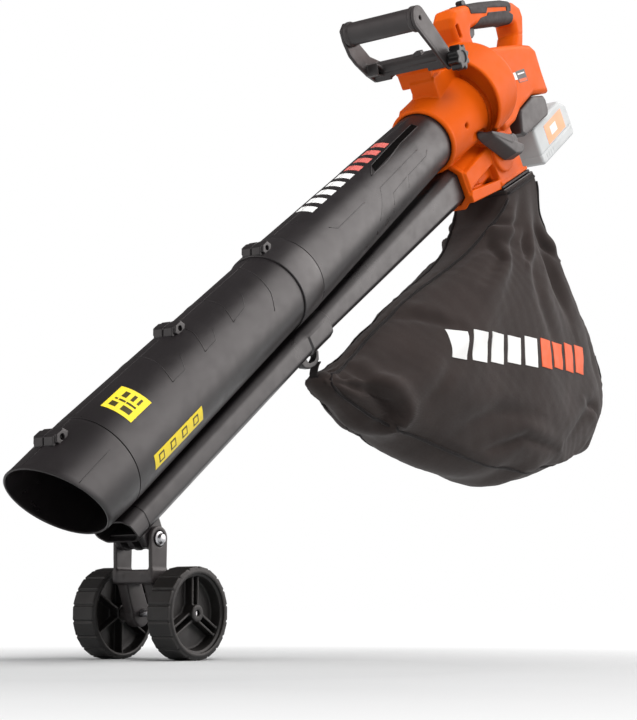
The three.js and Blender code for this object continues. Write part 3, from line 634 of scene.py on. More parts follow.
def nozzle(segments=128):
    """The mouth is cut obliquely, so each wall profile ends on the mouth plane."""
    mouth_x, mouth_slope, mouth_radius = -70.3, 0.4, 57
    loops = []
    for k in range(segments):
        turn = 2 * math.pi * k / segments
        end = mouth_x - mouth_slope * mouth_radius * math.sin(turn)
        profile = [(30, 56.0), (0.3, 56.0), (-0.1, 57.4), (-0.6, 58.5), (-6, 58.65)]
        for part in (0.25, 0.5, 0.75, 0.95):
            x = -6 + (end + 4 + 6) * part
            profile.append((x, 58.7 + x / 70 * 1.8))
        profile += [(end + 1.0, 56.9), (end + 0.2, 56.5), (end, 55.8), (end + 0.2, 54.9),
                    (end + 1.2, 54.3), (end * 0.5, 54.2), (-2, 54.2), (30, 53.6)]
        loops.append([around(x, radius, turn) for x, radius in profile])
    return sharpen(loops_mesh("suction_nozzle_skin", loops, ring=True), 30)


stand_in(nozzle(), TUBE, "machine", "suction_nozzle")


def clip_boss(name, x, base, node):
    """A faceted screw boss astride the tube's top seam, split down the middle."""
    def field(grid):
        block = grid.prism([(x - 14, base - 7), (x - 14, base + 1), (x - 9, base + 8.2),
                            (x + 9, base + 8.2), (x + 14, base + 1), (x + 14, base - 7)],
                           -14, 14, 1.0)
        hexagon = grid.prism([(x - 10.5, base + 2), (x - 5.5, base + 8.6), (x + 5.5, base + 8.6),
                              (x + 10.5, base + 2), (x + 5.5, base - 6), (x - 5.5, base - 6)],
                             -17, 17, 1.0)
        split = np.abs(grid.y) - 0.8 + np.maximum(base + 1 - grid.z, 0)
        well = np.maximum(grid.circle((x, base + 2.0), 3.2), 12.5 - grid.y)
        return cut(np.minimum(block, hexagon), split, well)
    carve(name, field, (x - 16, -19, base - 9), (x + 16, 19, base + 10.5), 0.65, TUBE, node,
          replaces=False)


clip_boss("boss_nozzle", -38, 56.5, "suction_nozzle")
clip_boss("boss_middle", 193, 55.0, "lower_tube")
clip_boss("boss_rear", 396, 54.3, "upper_tube")


def resample(path, step):
    points = [path[0]]
    for a, b in zip(path, path[1:]):
        count = max(1, int(math.ceil(math.hypot(b[0] - a[0], b[1] - a[1]) / step)))
        points += [(a[0] + (b[0] - a[0]) * i / count, a[1] + (b[1] - a[1]) * i / count)
                   for i in range(1, count + 1)]
    return points


def tube_ribbon(name, path, width, height, material, node):
    """A raised bead along (x, degrees round) points on the tube."""
    flat = [(x, math.radians(angle) * tube_radius(x)) for x, angle in path]
    points = resample(flat, 6)
    loops = []
    for i, (x, arc) in enumerate(points):
        before, after = points[max(0, i - 1)], points[min(len(points) - 1, i + 1)]
        run, turn = after[0] - before[0], after[1] - before[1]
        length = math.hypot(run, turn) or 1
        side_x, side_arc = -turn / length, run / length
        if i in (0, len(points) - 1) and flat[0] == flat[-1]:
            side_x, side_arc = 0.7071, 0.7071  # closed outlines meet in a mitre
        loop = []
        for across, up in ((-0.5, -0.4), (-0.32, 1.0), (0.32, 1.0), (0.5, -0.4)):
            edge_x = x + side_x * width * across
            radius = tube_radius(edge_x)
            angle = (arc + side_arc * width * across) / radius
            loop.append(around(edge_x, radius + height * up, angle))
        loops.append(loop)
    dress(loops_mesh(name, loops), material, "machine", node)


def mirrored(path):
    return [(x, 180 - angle) for x, angle in path]


SIDE_LINE = [(495, 36), (507, 26), (585, 26)]
LONG_LINE = [(600, -14), (626, 16), (632, 25), (757, 27)]
FLUSH = 0.1  # height of the black lines
# Seam beads and moulded lines: name, material, width, height, path of (x, degrees)
LINES = [
    ("seam_nozzle", TUBE, 0.9, 0.35, [(-74, 90), (-52, 90)]),
    ("seam_nozzle_b", TUBE, 0.9, 0.35, [(-24, 90), (-2, 90)]),
    ("seam_lower_a", TUBE, 0.9, 0.3, [(4, 90), (178, 90)]),
    ("seam_lower_b", TUBE, 0.9, 0.3, [(208, 90), (376, 90)]),
    ("seam_upper", TUBE, 0.9, 0.3, [(434, 90), (838, 90)]),
    ("line_a", BLACK, 1.3, FLUSH, SIDE_LINE),
    ("line_b", BLACK, 1.3, FLUSH, LONG_LINE),
    ("line_c", BLACK, 1.3, FLUSH, [(646, -13), (652, 4), (700, 7)]),
    ("line_d", BLACK, 1.3, FLUSH, [(695, -11), (704, 7), (766, 8), (776, 15)]),
    ("line_e", BLACK, 1.3, FLUSH, mirrored(SIDE_LINE)),
    ("line_f", BLACK, 1.3, FLUSH, mirrored(LONG_LINE)),
    ("arc_a", TUBE, 1.0, 0.45, [(133, 96), (126, 65), (113, 33)]),
    ("arc_b", TUBE, 1.0, 0.45, [(203, 88), (197, 59), (182, 32)]),
    ("arc_c", TUBE, 1.0, 0.45, [(267, 88), (262, 59), (249, 34)]),
    ("arc_d", TUBE, 1.0, 0.45, [(352, 91), (340, 56), (331, 28), (317, 7)]),
    ("arc_e", TUBE, 1.0, 0.45, [(133, 94), (126, 115), (113, 147)]),
    ("arc_f", TUBE, 1.0, 0.45, [(203, 94), (197, 121), (182, 148)]),
    ("arc_g", TUBE, 1.0, 0.45, [(267, 94), (262, 121), (249, 146)]),
    ("cut_a", BLACK, 1.1, FLUSH, [(113, 33), (139, 33), (154, 50)]),
    ("cut_b", BLACK, 1.1, FLUSH, [(182, 32), (207, 33), (219, 46)]),
    ("cut_c", BLACK, 1.1, FLUSH, [(249, 34), (280, 37), (297, 52)]),
    ("cut_d", BLACK, 1.0, FLUSH, [(-76, 26), (-19, 28)]),
    ("cut_e", BLACK, 1.3, FLUSH, [(-90, 92), (-53, 92)]),
    ("cut_f", BLACK, 1.3, FLUSH, [(-22, 92), (-9, 92)]),
]
for name, material, width, height, path in LINES:
    start = path[0][0]
    node = "suction_nozzle" if start < 0 else "lower_tube" if start < SLEEVE_X else "upper_tube"
    tube_ribbon("tube_" + name, path, width, height, material, node)


def tube_patch(name, corners, lift, material, node, columns, rows):
    """A thin sheet on the tube between four (x, degrees) corners."""
    thickness = 0.25
    layers = [[around(x, tube_radius(x) + height, math.radians(angle))
               for x, angle in spread(corners, columns, rows)]
              for height in (lift, lift - thickness)]
    dress(sheet(name, *layers, columns, rows), material, "machine", node)


# Outlined panels beside the top seam of the upper tube, each filled with a near-black sheet that
# paints the shadow in its slot
TOP = 90  # degrees
# (x, degrees down from the top)
PANEL_RIM = [(640, 42), (664, 28), (742, 22), (806, 20), (806, 33), (742, 35), (690, 42), (640, 42)]
PANEL_FILL = [(654, 41), (806, 33), (806, 20.5), (664, 28.5)]
for side, sign in (("left", 1), ("right", -1)):
    rim, fill = ([(x, TOP - sign * down) for x, down in points] for points in (PANEL_RIM, PANEL_FILL))
    tube_ribbon("tube_slot_" + side, rim, 1.8, 0.5, BLACK, "upper_tube")
    tube_patch("tube_slot_fill_" + side, fill, 0.2, SLOT_SHADOW, "upper_tube", 15, 5)

# Slanted blocks printed over the top of the upper tube
for i in range(9):
    x = 508 + i * 26.5
    tube_patch("tube_print_%d" % i, [(x, 70), (x + 15, 70), (x + 19, 100), (x + 4, 100)], 0.28,
               WHITE if i < 5 else PALE_RED, "upper_tube", 4, 9)


def label(name, area, lift, material, columns=3, rows=4):
    """A rectangle on the lower tube: area is x from, x to, degrees from, degrees to."""
    tube_patch(name, rectangle(*area), lift, material, "lower_tube", columns, rows)


label("label_top", (28, 69, 71.5, 33), 0.35, YELLOW, 7, 13)
for i, area in enumerate([(34, 42, 66, 58), (46, 49, 66, 40), (53, 63, 62, 56), (53, 63, 51, 47),
                          (53, 63, 43, 40), (34, 42, 52, 40)]):
    label("label_top_mark_%d" % i, area, 0.5, INK)
label("label_side", (30, 131, -11.5, -30), 0.35, YELLOW, 13, 7)
for i in range(4):
    x = 38 + i * 24
    label("label_side_mark_%d" % i, (x, x + 11, -15, -26), 0.5, INK)
    label("label_side_clear_%d" % i, (x + 2, x + 9, -17, -24), 0.6, YELLOW)


# ---------------------------------------------------------------- blower tube
def section_loop(section, rounding, mouth=None):
    """An eight-sided loop with rounded corners. mouth gives x from z where the end slants."""
    x, half, top, bottom, corner = section
    corners = np.array([
        (-half + corner, top), (half - corner, top), (half, top - corner), (half, bottom + corner),
        (half - corner, bottom), (-half + corner, bottom), (-half, bottom + corner),
        (-half, top - corner)])
    loop = []
    for i, point in enumerate(corners):
        before, after = corners[i - 1] - point, corners[(i + 1) % 8] - point
        start = point + before / np.linalg.norm(before) * rounding
        end = point + after / np.linalg.norm(after) * rounding
        for t in (0.0, 0.33, 0.67, 1.0):
            y, z = (1 - t) ** 2 * start + 2 * t * (1 - t) * point + t * t * end
            loop.append((mouth(z) if mouth else x, y, z))
    return loop


def duct(name, node, outer, inner, mouth=None):
    """Outer and inner walls from front to back: x, half width, top, bottom, corner."""
    front = [section_loop(outer[0], 3.0, mouth)]
    loops = front + [section_loop(section, 3.0) for section in outer[1:]]
    loops += [section_loop(section, 2.4) for section in inner[:0:-1]]
    loops.append(section_loop(inner[0], 2.4, mouth))
    stand_in(sharpen(loops_mesh(name, loops, ring=True), 24), TUBE, "machine", node)


duct("blower_tube_rear", "blower_tube_upper",
     outer=[(395, 27, -59, -89.5, 8), (446, 27, -58.6, -91, 8), (842, 27, -52.4, -108.4, 11),
            (905, 27, -52.4, -109.5, 11)],
     inner=[(395, 24.8, -61.2, -87.3, 7), (446, 24.8, -60.8, -88.8, 7),
            (842, 24.8, -54.6, -106.2, 10), (905, 24.8, -54.6, -107.3, 10)])
duct("blower_tube_front", "blower_tube_lower",
     outer=[(-20, 30, -60.6, -92.5, 8), (6.4, 30, -59.8, -92.5, 8), (7, 29.3, -60.2, -91.9, 8),
            (8.4, 29.3, -60.2, -91.9, 8), (9, 30, -59.8, -92.5, 8), (376, 30, -56.4, -92.5, 8),
            (386, 30, -56.3, -92.6, 8), (389, 31.6, -56.3, -94.2, 9),
            (438.6, 31.6, -56.1, -95.6, 9), (440, 30.8, -56.6, -95.0, 9)],
     inner=[(-20, 27.6, -62.8, -90.2, 7), (0, 27.6, -62, -90.2, 7), (374, 27.6, -58.7, -90.2, 7),
            (392, 27.4, -58.6, -89.9, 7.8), (440, 27.4, -58.2, -91.4, 7.8)],
     mouth=lambda z: -22 + 12 * (-50 - z) / 50)


def lug(grid):
    """Block under the blower tube that takes the carriage bolt, notched at both ends."""
    body = grid.prism([(-4, -88), (34, -88), (30, -108), (22, -116), (6, -116), (-2, -106)],
                      -22.4, 22.4, 2.0)
    for y0, y1 in ((-14, -4), (4, 14)):
        body = cut(body, grid.box((-20, y0, -130), (8, y1, -95), 1.5),
                   grid.box((21, y0, -130), (50, y1, -95), 1.5))
    return cut(body, grid.circle(PIVOT, 4.2))


carve("carriage_lug", lug, (-8, -26, -120), (38, 26, -86), 0.9, TUBE, "blower_tube_lower",
      replaces=False)


def bag_hook(grid):
    plate = grid.prism([(372, -95.2), (437, -96), (437, -99.5), (372, -99.0)], -10, 10, 1.0)
    hook = grid.prism([(384, -97), (398, -97), (402, -110), (412, -113), (419, -111), (424, -105),
                       (429.5, -107), (423, -117.5), (412, -120), (399, -117), (389, -110)],
                      -5, 5, 1.6)
    rib = grid.prism([(398, -97), (432, -98), (402, -106)], -1.4, 1.4, 0.5)
    return join(np.minimum(plate, rib), hook, 1.5)


carve("bag_hook_skin", bag_hook, (369, -12, -122), (440, 12, -93), 0.8, BLACK, "bag_hook")

# ---------------------------------------------------------------- carriage and wheels
# These fields are in the axle frame.
PIVOT_X, PIVOT_Z = AXLE_PIVOT = tube_to_axle(*PIVOT)
AXLE = (0, AXLE_Z)


def bracket(grid):
    """Two arms up to the pivot, a cross bar, and two legs down to the axle."""
    both = grid.both
    upper = [(PIVOT_X - 13, 86), (PIVOT_X + 12, 86), (PIVOT_X + 13.4, PIVOT_Z),
             (PIVOT_X - 13.4, PIVOT_Z)]
    arm = both.slab(np.minimum(grid.circle(AXLE_PIVOT, 13.6), grid.outline(upper)), 23, 28.0, 1.2)
    ring = both.disc(AXLE_PIVOT, 12.6, 24, 28.0, 1.0)
    cup = np.maximum(grid.circle(AXLE_PIVOT, 9.0), 26.2 - both.y)
    bar = grid.box((PIVOT_X - 14, -29, 82), (PIVOT_X + 12, 29, 97), 2.0)
    lower = [(-15, AXLE_Z), (15, AXLE_Z), (PIVOT_X + 12, 92), (PIVOT_X - 14, 92)]
    leg = both.slab(np.minimum(grid.circle(AXLE, 15), grid.outline(lower)), 12, 26, 2.2)
    body = join_all(np.minimum(arm, ring), (bar, 3.5), (leg, 3.5))
    return cut(body, cup, grid.disc(AXLE, 4.3, -40, 40), grid.disc(AXLE_PIVOT, 4.2, -40, 40))


carve("carriage_frame", bracket, (-18, -32, 33), (PIVOT_X + 16, 32, PIVOT_Z + 16), 0.9,
      DARK, "carriage_bracket", "carriage", axle_to_world)
DOME = [(28.2, 7.8), (29.2, 7.8), (29.6, 7.2), (30.2, 6.0), (32.0, 5.6), (33.6, 4.4), (34.3, 2.6),
        (34.5, 0.3)]
NUT = [(-28.2, 8.4), (-29.2, 8.4), (-29.4, 7.4), (-33.6, 7.2), (-34, 6.4), (-34, 0.3)]
stand_in(lathe_y("pivot_dome", DOME, AXLE_PIVOT, 40), STEEL, "carriage", "pivot_bolt")
stand_in(lathe_y("pivot_nut_skin", NUT, AXLE_PIVOT, 6), STEEL, "carriage", "pivot_nut")

# Left wheel: (y, radius) profiles; the hub's passes the axis, so it is solid there
RIM = [(37.5, 43.8), (37.5, 46.6), (39.2, 48.4), (68.2, 48.4), (70.5, 46.2), (70.5, 43.0),
       (69.6, 42.2), (68.8, 43.0), (67.6, 42.8), (66.6, 39.8), (54, 38.0), (51.5, 38.4),
       (50, 42.0), (46, 43.8)]
WEB = [(51, 2), (54.4, 2), (54.4, 40), (51, 40)]
HUB = [(38, -60), (68.4, -60), (68.4, 8.4), (67.4, 9.4), (54, 10.2), (38, 9.8)]
TREAD_SLABS = 18


def wheel_field(grid):
    grid = Grid(grid.x, grid.y, grid.z - AXLE_Z)
    x, y, z = grid.x, grid.y, grid.z

    def spoke(angle, offset, half_width, middle, half_length, y_middle, y_half):
        """A straight bar out from the hub."""
        out = x * math.cos(angle) + z * math.sin(angle)
        across = -x * math.sin(angle) + z * math.cos(angle)
        flat = np.maximum(np.abs(across - offset) - half_width, np.abs(out - middle) - half_length)
        return np.maximum(flat, np.abs(y - y_middle) - y_half)

    body = join_all(grid.turned_y(RIM), (grid.turned_y(WEB), 1.6), (grid.turned_y(HUB), 1.5))
    for k in range(3):  # paired spokes on the outer side
        for offset in (-4.4, 4.4):
            angle = math.pi / 2 + k * 2 * math.pi / 3
            body = join(body, spoke(angle, offset, 1.35, 24, 16.5, 59, 5.5), 1.2)
    for k in range(6):  # fins on the inner side
        angle = math.pi / 6 + k * math.pi / 3
        body = join(body, spoke(angle, 0, 1.1, 26, 18.0, 45.8, 6.2), 1.0)
    radius = np.hypot(x, z)
    sector = 2 * math.pi / TREAD_SLABS
    phase = (np.arctan2(z, x) + sector / 2) % sector - sector / 2
    across = np.abs(radius * np.sin(phase))
    slab = np.maximum(np.maximum(radius * np.cos(phase) - 49.9, 44 - radius), across - 7.9)
    slab = np.maximum(slab, (across + (radius - 49.9) * 1.0 - 7.5) / 1.414)
    body = join(body, grid.slab(slab, 39, 69, 0.8), 0.8)
    return cut(body, np.maximum(radius - 4.15, y - 66.8), radius - 3.0)


wheel = field_mesh("wheel_left_skin", wheel_field, (-52, 36, -2), (52, 72, 102), 1.05,
                   axle_to_world)
right = wheel.copy()
right.data = wheel.data.copy()
right.name = right.data.name = "wheel_right_skin"
bpy.context.scene.collection.objects.link(right)
right.data.flip_normals()
move_vertices(right.data, vectors(right.data) * np.array((1, -1, 1)))
stand_in(wheel, WHEEL, "wheel_left", "wheel_left")
stand_in(right, WHEEL, "wheel_right", "wheel_right")

# ---------------------------------------------------------------- fan housing
BODY = [(1000, 66), (1045, 60), (1100, 42), (1145, 26), (1168, 16), (1180, 3), (1178, -30),
        (1179, -70), (1160, -64), (1126, -51), (1072, -53), (1046, -62), (1000, -62)]
HANDLE = [(1006, 60), (1006, 112), (1012, 126), (1026, 134), (1060, 128), (1114, 113), (1180, 92),
          (1214, 77), (1231, 62), (1231, 45), (1214, 22), (1196, 2), (1176, -12), (1120, 0)]
HANDLE_OPENING = [(1052, 64), (1052, 84), (1058, 91), (1070, 90), (1120, 74), (1184, 54),
                  (1193, 47), (1190, 34), (1168, 17), (1144, 22), (1100, 40)]
# Fan scroll, (x, radius), about an axis moved left and up
SCROLL = [(958, -60), (958, 59), (955, 63), (946, 65.6), (939.5, 66.4), (938, 67.4), (938, 69.4),
          (940, 71.2), (1000, 71.8), (1007, 69.5), (1012, 64), (1014, -60)]
SCROLL_CENTRE = (18, 18)
FAN_DISC = [(950, -60), (950, 60), (953, 61.5), (1000, 61.5), (1010, 58), (1012, -60)]


def rear_handle(grid):
    return grid.slab(cut(grid.outline(HANDLE), grid.outline(HANDLE_OPENING)), -19, 19, 9)


def housing_solid(grid):
    x, y, z = grid.x, grid.y, grid.z
    # the collar grows and leans left and up towards the fan
    growth = np.clip((x - COLLAR_X) / 93.0, 0, 1.25)
    collar = np.hypot(y - 5 * growth, z - 5 * growth) - (50 + 7.6 * growth)
    body = union(
        overlap(collar, np.maximum(COLLAR_X - x, x - 943), 3.0),
        grid.turned_x([(844, 40), (844, 51.0), (847, 51.4), (849, 50.6), (849, 40)]),
        grid.turned_x([(930, -60), (930, 47), (972, 47), (972, -60)]))
    scroll = np.minimum(grid.turned_x(SCROLL, SCROLL_CENTRE), grid.turned_x(FAN_DISC))
    pillar = grid.prism([(880, 40), (880, 76), (884, 80), (914, 80), (932, 74), (958, 74),
                         (958, 40)], -12, 30, 2)
    hinge_ear = np.minimum(grid.disc(HINGE, 9, -27, 27, 1),
                           grid.box((884, -27, 70), (894, 27, 99), 1))
    right_lug = extrude(polygon(y, z, [(-26, 30), (-47, 18), (-49, 26), (-40, 42), (-28, 48)]),
                        x, 876, 930, 2)
    outlet = grid.prism([(944, -48), (1034, -48), (1034, -137), (1020, -136), (957, -126),
                         (948, -110)], -40, 40, 3.5)
    socket = np.maximum(grid.octagon(32.5, -46, -114, 14), np.abs(x - 914) - 52)
    fairing = grid.outline([(860, -62), (950, -58), (951, -88), (876, -90.5), (860, -93)])
    fairing = grid.slab(fairing + np.maximum(np.abs(y) - 34, 0) * 0.25, -40, 40, 2)
    socket_rim = overlap(grid.octagon(36.5, -46, -118, 15), np.abs(x - 862) - 4.0, 1.0)
    body = join_all(
        body, (scroll, 2.5), (grid.prism(BODY, -48, 48, 9), 6), (rear_handle(grid), 5),
        (pillar, 1.5), (hinge_ear, 1.5), (right_lug, 2), (outlet, 2.5), (socket, 1.5),
        (fairing, 1.2), (socket_rim, 1.0), (grid.disc(SELECTOR, 31, 34, 45.8, 1.2), 1.5))
    bead = np.maximum(np.abs(grid.circle(SELECTOR, 27)) - 1.2, np.abs(y - 45.8) - 0.9)
    flange = grid.prism([(949, -119.5), (1040, -133.5), (1040, -139), (949, -125)], -42, 42, 1.2)
    # struts from the socket rim down to the flange
    strut = grid.both.prism([(858, -98), (864, -92), (958, -117), (962, -128), (950, -130),
                             (858, -109)], 28.5, 40, 1.2)
    return join_all(np.minimum(body, bead), (flange, 1.5), (strut, 1.2))


def housing_hollows(grid):
    x, y = grid.x, grid.y
    lever_room = np.minimum(
        grid.outline([(900, -18), (930, -24), (990, -62), (1014, -74), (1014, -118), (900, -118)]),
        grid.circle(SELECTOR, 36))
    return [
        # bore, fan chamber, scroll and motor room
        grid.turned_x([(830, -60), (830, 45.4), (881, 45.4), (881.2, 42), (940, 42), (963, 44),
                       (966, -60)]),
        grid.turned_x([(963.2, -60), (963.2, 57.5), (1003, 57.5), (1003, -60)]),
        grid.turned_x([(963.2, -60), (963.2, 60), (967, 66), (1003, 67), (1003, -60)],
                      SCROLL_CENTRE),
        grid.turned_x([(990, -60), (990, 33), (1108, 33), (1108, -60)]),
        # outlet and blower tube socket
        grid.prism([(964, -30), (1003, -30), (1030, -60), (1030, -150), (952, -150), (952, -112),
                    (964, -62)], -36.5, 36.5),
        np.maximum(grid.octagon(27.4, -52, -109.9, 11), np.abs(x - 872) - 34),
        np.maximum(grid.octagon(25, -54, -108, 10), np.abs(x - 930) - 26),
        # handle bolt and selector shaft
        grid.disc(HINGE, 4.2, -40, 40),
        grid.disc(SELECTOR, 5.3, -60, 60),
        # three-cornered recess between the fairing, the outlet and its strut
        grid.both.prism([(878, -91.5), (948, -88.5), (951.5, -112.5)], 28.8, 60),
        # turning room for the selector lever
        grid.slab(lever_room, 46.0, 95),
        # trigger and lock button wells
        grid.prism([(1058, 84), (1092, 74), (1094, 104), (1058, 112)], -6, 6),
        grid.box((1074, -6, 106), (1090, 6, 140), 0.5),
        grid.prism([(1092, 102), (1124, 94), (1122, 80), (1092, 88)], -8.4, 8.4),
        # slot across the handle's front post
        grid.box((1013, -30, 92), (1021, 30, 113), 2),
        # rear vents
        *(grid.box((1166, -28, z), (1192, 28, z + 4), 1.2) for z in (-14, -24, -34)),
        # two round wells in the left side of the collar
        *(np.maximum(grid.circle(centre, 4.2), floor - y)
          for centre, floor in (((884, 0), 44), ((905, -41), 40))),
        # circuit board
        grid.prism([(1106, 8), (1158, -4), (1158, -11), (1106, 0)], -31, 31),
    ]


def housing_field(grid):
    body = cut(housing_solid(grid), *housing_hollows(grid))
    # a shallow groove round the rear post
    ring = np.maximum(np.abs(0.28 * (grid.x - 1199) + (grid.z - 28)) - 0.7, 1178 - grid.x)
    return cut(body, np.maximum(ring, np.abs(body + 0.2) - 0.8))


def build_housing():
    """Meshes the whole housing, then parts it just off its middle plane."""
    whole = field_mesh("housing_whole", housing_field, (840, -64, -142), (1234, 92, 138), 1.55)
    halves = []
    for side, sign in (("left", 1), ("right", -1)):
        half = whole.copy()
        half.data = whole.data.copy()
        half.name = half.data.name = "housing_%s_shell" % side
        bpy.context.scene.collection.objects.link(half)
        with edited(half) as work:
            bmesh.ops.bisect_plane(
                work, geom=work.verts[:] + work.edges[:] + work.faces[:],
                plane_co=(0, 0.00006 * sign, 0), plane_no=(0, -sign, 0), clear_outer=True,
                dist=1e-7)
            rim = open_edges(work)
            made = bmesh.ops.triangle_fill(work, edges=rim, use_beauty=False,
                                           normal=(0, -sign, 0))
            for item in made["geom"]:
                if isinstance(item, bmesh.types.BMFace):
                    item.smooth = False
            for edge in rim:
                edge.smooth = False
        halves.append((half, "housing_" + side))
    bpy.data.objects.remove(whole)
    for half, node in halves:
        stand_in(half, ORANGE, "machine", node)


build_housing()

# Soft cover on the rear grip, stepped along its edge
COVER_TOP = [(1068, 111), (1070, 140), (1204, 108), (1203, 84), (1192, 69), (1179, 73), (1182, 80),
             (1123, 100.5), (1114, 95)]
COVER_LOW = [(1071, 90), (1093, 95), (1114, 91), (1121, 93.5), (1176, 76), (1186, 70), (1196, 62),
             (1184, 46), (1066, 82)]
COVER_MIDDLE = [(1068, 100), (1070, 140), (1204, 108), (1203, 70), (1180, 76), (1120, 98)]


def grip_cover(grid):
    base = rear_handle(grid)
    # the middle band reaches in only 9 mm each side, so the housing shows beyond it
    region = union(grid.outline(COVER_TOP), grid.outline(COVER_LOW),
                   np.maximum(grid.outline(COVER_MIDDLE), np.abs(grid.y) - 9))
    shell = cut(base - 1.4, base + 1.0, grid.box((1072, -7, 90), (1092, 7, 145)),
                grid.prism([(1056, 60), (1094, 60), (1094, 92), (1056, 100)], -7, 7))
    return overlap(shell, region, 0.8)


def trigger(grid):
    return grid.prism([(1061, 96), (1090, 88), (1088.5, 79), (1084, 73), (1076, 71.5), (1067, 74),
                       (1061, 82)], -5.2, 5.2, 2.0)


def lock_button(grid):
    body = grid.prism([(1075, 118), (1089, 118), (1088, 128), (1085, 130), (1079, 131),
                       (1075.4, 129.6)], -5.4, 5.4, 1.4)
    return cut(body, *(grid.circle((x, 131.6), 1.1) for x in (1078.5, 1082, 1085.5)))


def strap_eye(grid):
    return cut(grid.box((1016, -25, 96), (1038, -19.4, 120), 1.6),
               grid.box((1023, -30, 102), (1031, -10, 114), 2))


carve("rear_grip_sleeve", grip_cover, (1060, -23, 42), (1208, 23, 134), 0.95, RUBBER,
      "rear_grip_cover")
carve("trigger_skin", trigger, (1058, -7, 68), (1093, 7, 99), 0.6, BLACK, "trigger", "trigger")
carve("lock_button_skin", lock_button, (1072, -7, 115), (1092, 7, 137), 0.5, BLACK,
      "lock_button", "lock_button")
carve("strap_eye_skin", strap_eye, (1013, -27, 93), (1041, -17, 123), 0.6, BLACK, "strap_eye")


def flat_plate(name, corners, outer, inner, material, body, node):
    """A thin plate facing sideways, between two y places and four (x, z) corners."""
    layers = [[(x, y, z) for x, z in spread(corners, 4, 4)] for y in (outer, inner)]
    dress(sheet(name, *layers, 4, 4), material, body, node)


# Rating plate on the left side: name, corners, inner y, thickness, material
for name, corners, y, thickness, material in (
        ("plate", [(1089, 2), (1119, -5), (1119, -25), (1090, -17)], 47.6, 0.8, DARK),
        ("bar_a", [(1078, 4), (1088, 1.4), (1089, -11), (1079, -8)], 47.9, 0.5, WHITE),
        ("bar_b", [(1093, -3), (1115, -8.4), (1115, -10.6), (1093, -5.2)], 48.2, 0.35, WHITE),
        ("bar_c", [(1092, -12), (1117, -18.6), (1117.4, -23.4), (1092.4, -16.6)], 48.2, 0.35, RED)):
    flat_plate("rating_" + name, corners, y + thickness, y, material, "machine", "housing_left")

LEVER = [(916, -26), (921, -24), (930, -28), (988, -65), (1007, -77), (1012, -86), (1006, -98),
         (992, -103), (968, -93), (922, -45), (914, -34)]


def selector_lever(grid):
    """The lever narrows outwards under a raised finger ridge."""
    base = grid.outline(LEVER) + 0.6 + 0.40 * np.maximum(grid.y - 49, 0)
    ridge = grid.slab(grid.link((924, -31), 2.2, (972, -62), 6.0), 50, 69.6, 1.2)
    return join_all(grid.slab(base, 46.6, 69, 1.5), (ridge, 1.5),
                    (grid.disc((979, -70), 12.5, 46.6, 68.4, 2.0), 1.5))


carve("selector_lever_skin", selector_lever, (908, 44, -107), (1016, 71, -16), 0.85, DARK,
      "selector_lever", "selector")

# ---------------------------------------------------------------- outlet rim and bag frame
OUTLET_SLOPE = 0.1538  # fall of the outlet rim towards the back


def sloped(grid, x0, x1, top, bottom, half_width, rounding):
    """A slab along the outlet rim's slope, its heights given at x0."""
    fall = (x1 - x0) * OUTLET_SLOPE
    return grid.prism([(x0, top), (x1, top - fall), (x1, bottom - fall), (x0, bottom)],
                      -half_width, half_width, rounding)


def outlet_opening(grid, x0, bottom):
    return grid.prism([(x0, -90), (1029.5, -90), (1029.5, bottom), (x0, bottom)], -36, 36)


def outlet_rim(grid):
    return cut(sloped(grid, 947, 1042, -125.8, -129.3, 43, 1.2),
               outlet_opening(grid, 952.5, -180))


def neck_frame(grid):
    body = join_all(sloped(grid, 944, 1046, -130.0, -133.0, 45, 1.0),
                    (sloped(grid, 949, 1036, -132, -140, 41, 1.0), 1.0),
                    (sloped(grid, 1040, 1052, -144.6, -149, 12, 1.2), 2))
    return cut(body, outlet_opening(grid, 953, -190))


carve("outlet_seal", outlet_rim, (944, -46, -147), (1045, 46, -122), 1.1, RUBBER, "outlet_rim")
carve("bag_frame_skin", neck_frame, (942, -47, -158), (1055, 47, -127), 1.1, BLACK,
      "bag_neck_frame", "bag")

# ---------------------------------------------------------------- front handle
RIGHT_ARM = [(832, 173), (835, 189), (849, 195), (863, 188), (868, 155), (882, 131), (904, 115),
             (904, 93), (876, 93), (860, 109), (842, 134), (834, 150)]


def handle_frame(grid):
    """Left arm, cross bar and right arm."""
    link = grid.link(GRIP, 18, HINGE, 14)
    left = cut(grid.slab(link, 57, 62, 1.3), np.maximum(np.abs(link + 3) - 0.7, 61.3 - grid.y))
    right = grid.prism(RIGHT_ARM, -62, -57, 1.3)
    bar = grid.prism([(874, 93), (874, 112), (878, 116), (900, 116), (904, 112), (904, 93)],
                     -57.5, 57.5, 1.3)
    bar = cut(
        bar,
        grid.prism([(878, 80), (878, 112), (900, 112), (900, 80)], -54, 54, 0.8),
        grid.prism([(860, 80), (860, 98), (920, 98), (920, 80)], -31, 31, 0.8),
        # long groove in the front wall
        grid.prism([(870, 104), (874.9, 104), (874.9, 106.4), (870, 106.4)], -50, 50))
    ribs = [grid.prism([(877, 94), (901, 94), (901, 113), (877, 113)], y - 1.4, y + 1.4, 0.4)
            for y in (-43, -32.6, 32.6, 43)]
    tab = grid.prism([(880, 114), (894, 114), (892, 121.5), (882, 121.5)], 12, 24, 1.4)
    gusset = cut(
        grid.prism([(858, 109), (876, 100), (880, 112), (866, 124)], -58, -40, 1.5),
        grid.prism([(862, 108), (874, 103), (876, 110), (866, 118)], -54, -30, 0.6))
    body = union(join_all(left, (bar, 2), (right, 2)), *ribs)
    body = join_all(body, (tab, 1.2), (gusset, 2))
    return cut(body, grid.disc(HINGE, 4.2, -80, 80), grid.disc(GRIP, 3.1, 51, 80))


GRIP_END = [(56.7, -60), (56.7, 17.4), (56.1, 18.2), (51.2, 18.2), (50.4, 17.2), (49.6, 16.2)]


def front_grip(grid):
    profile = GRIP_END + [(-y, radius) for y, radius in reversed(GRIP_END)]
    return cut(grid.turned_y(profile, GRIP), grid.disc(GRIP, 3.1, 36, 70))


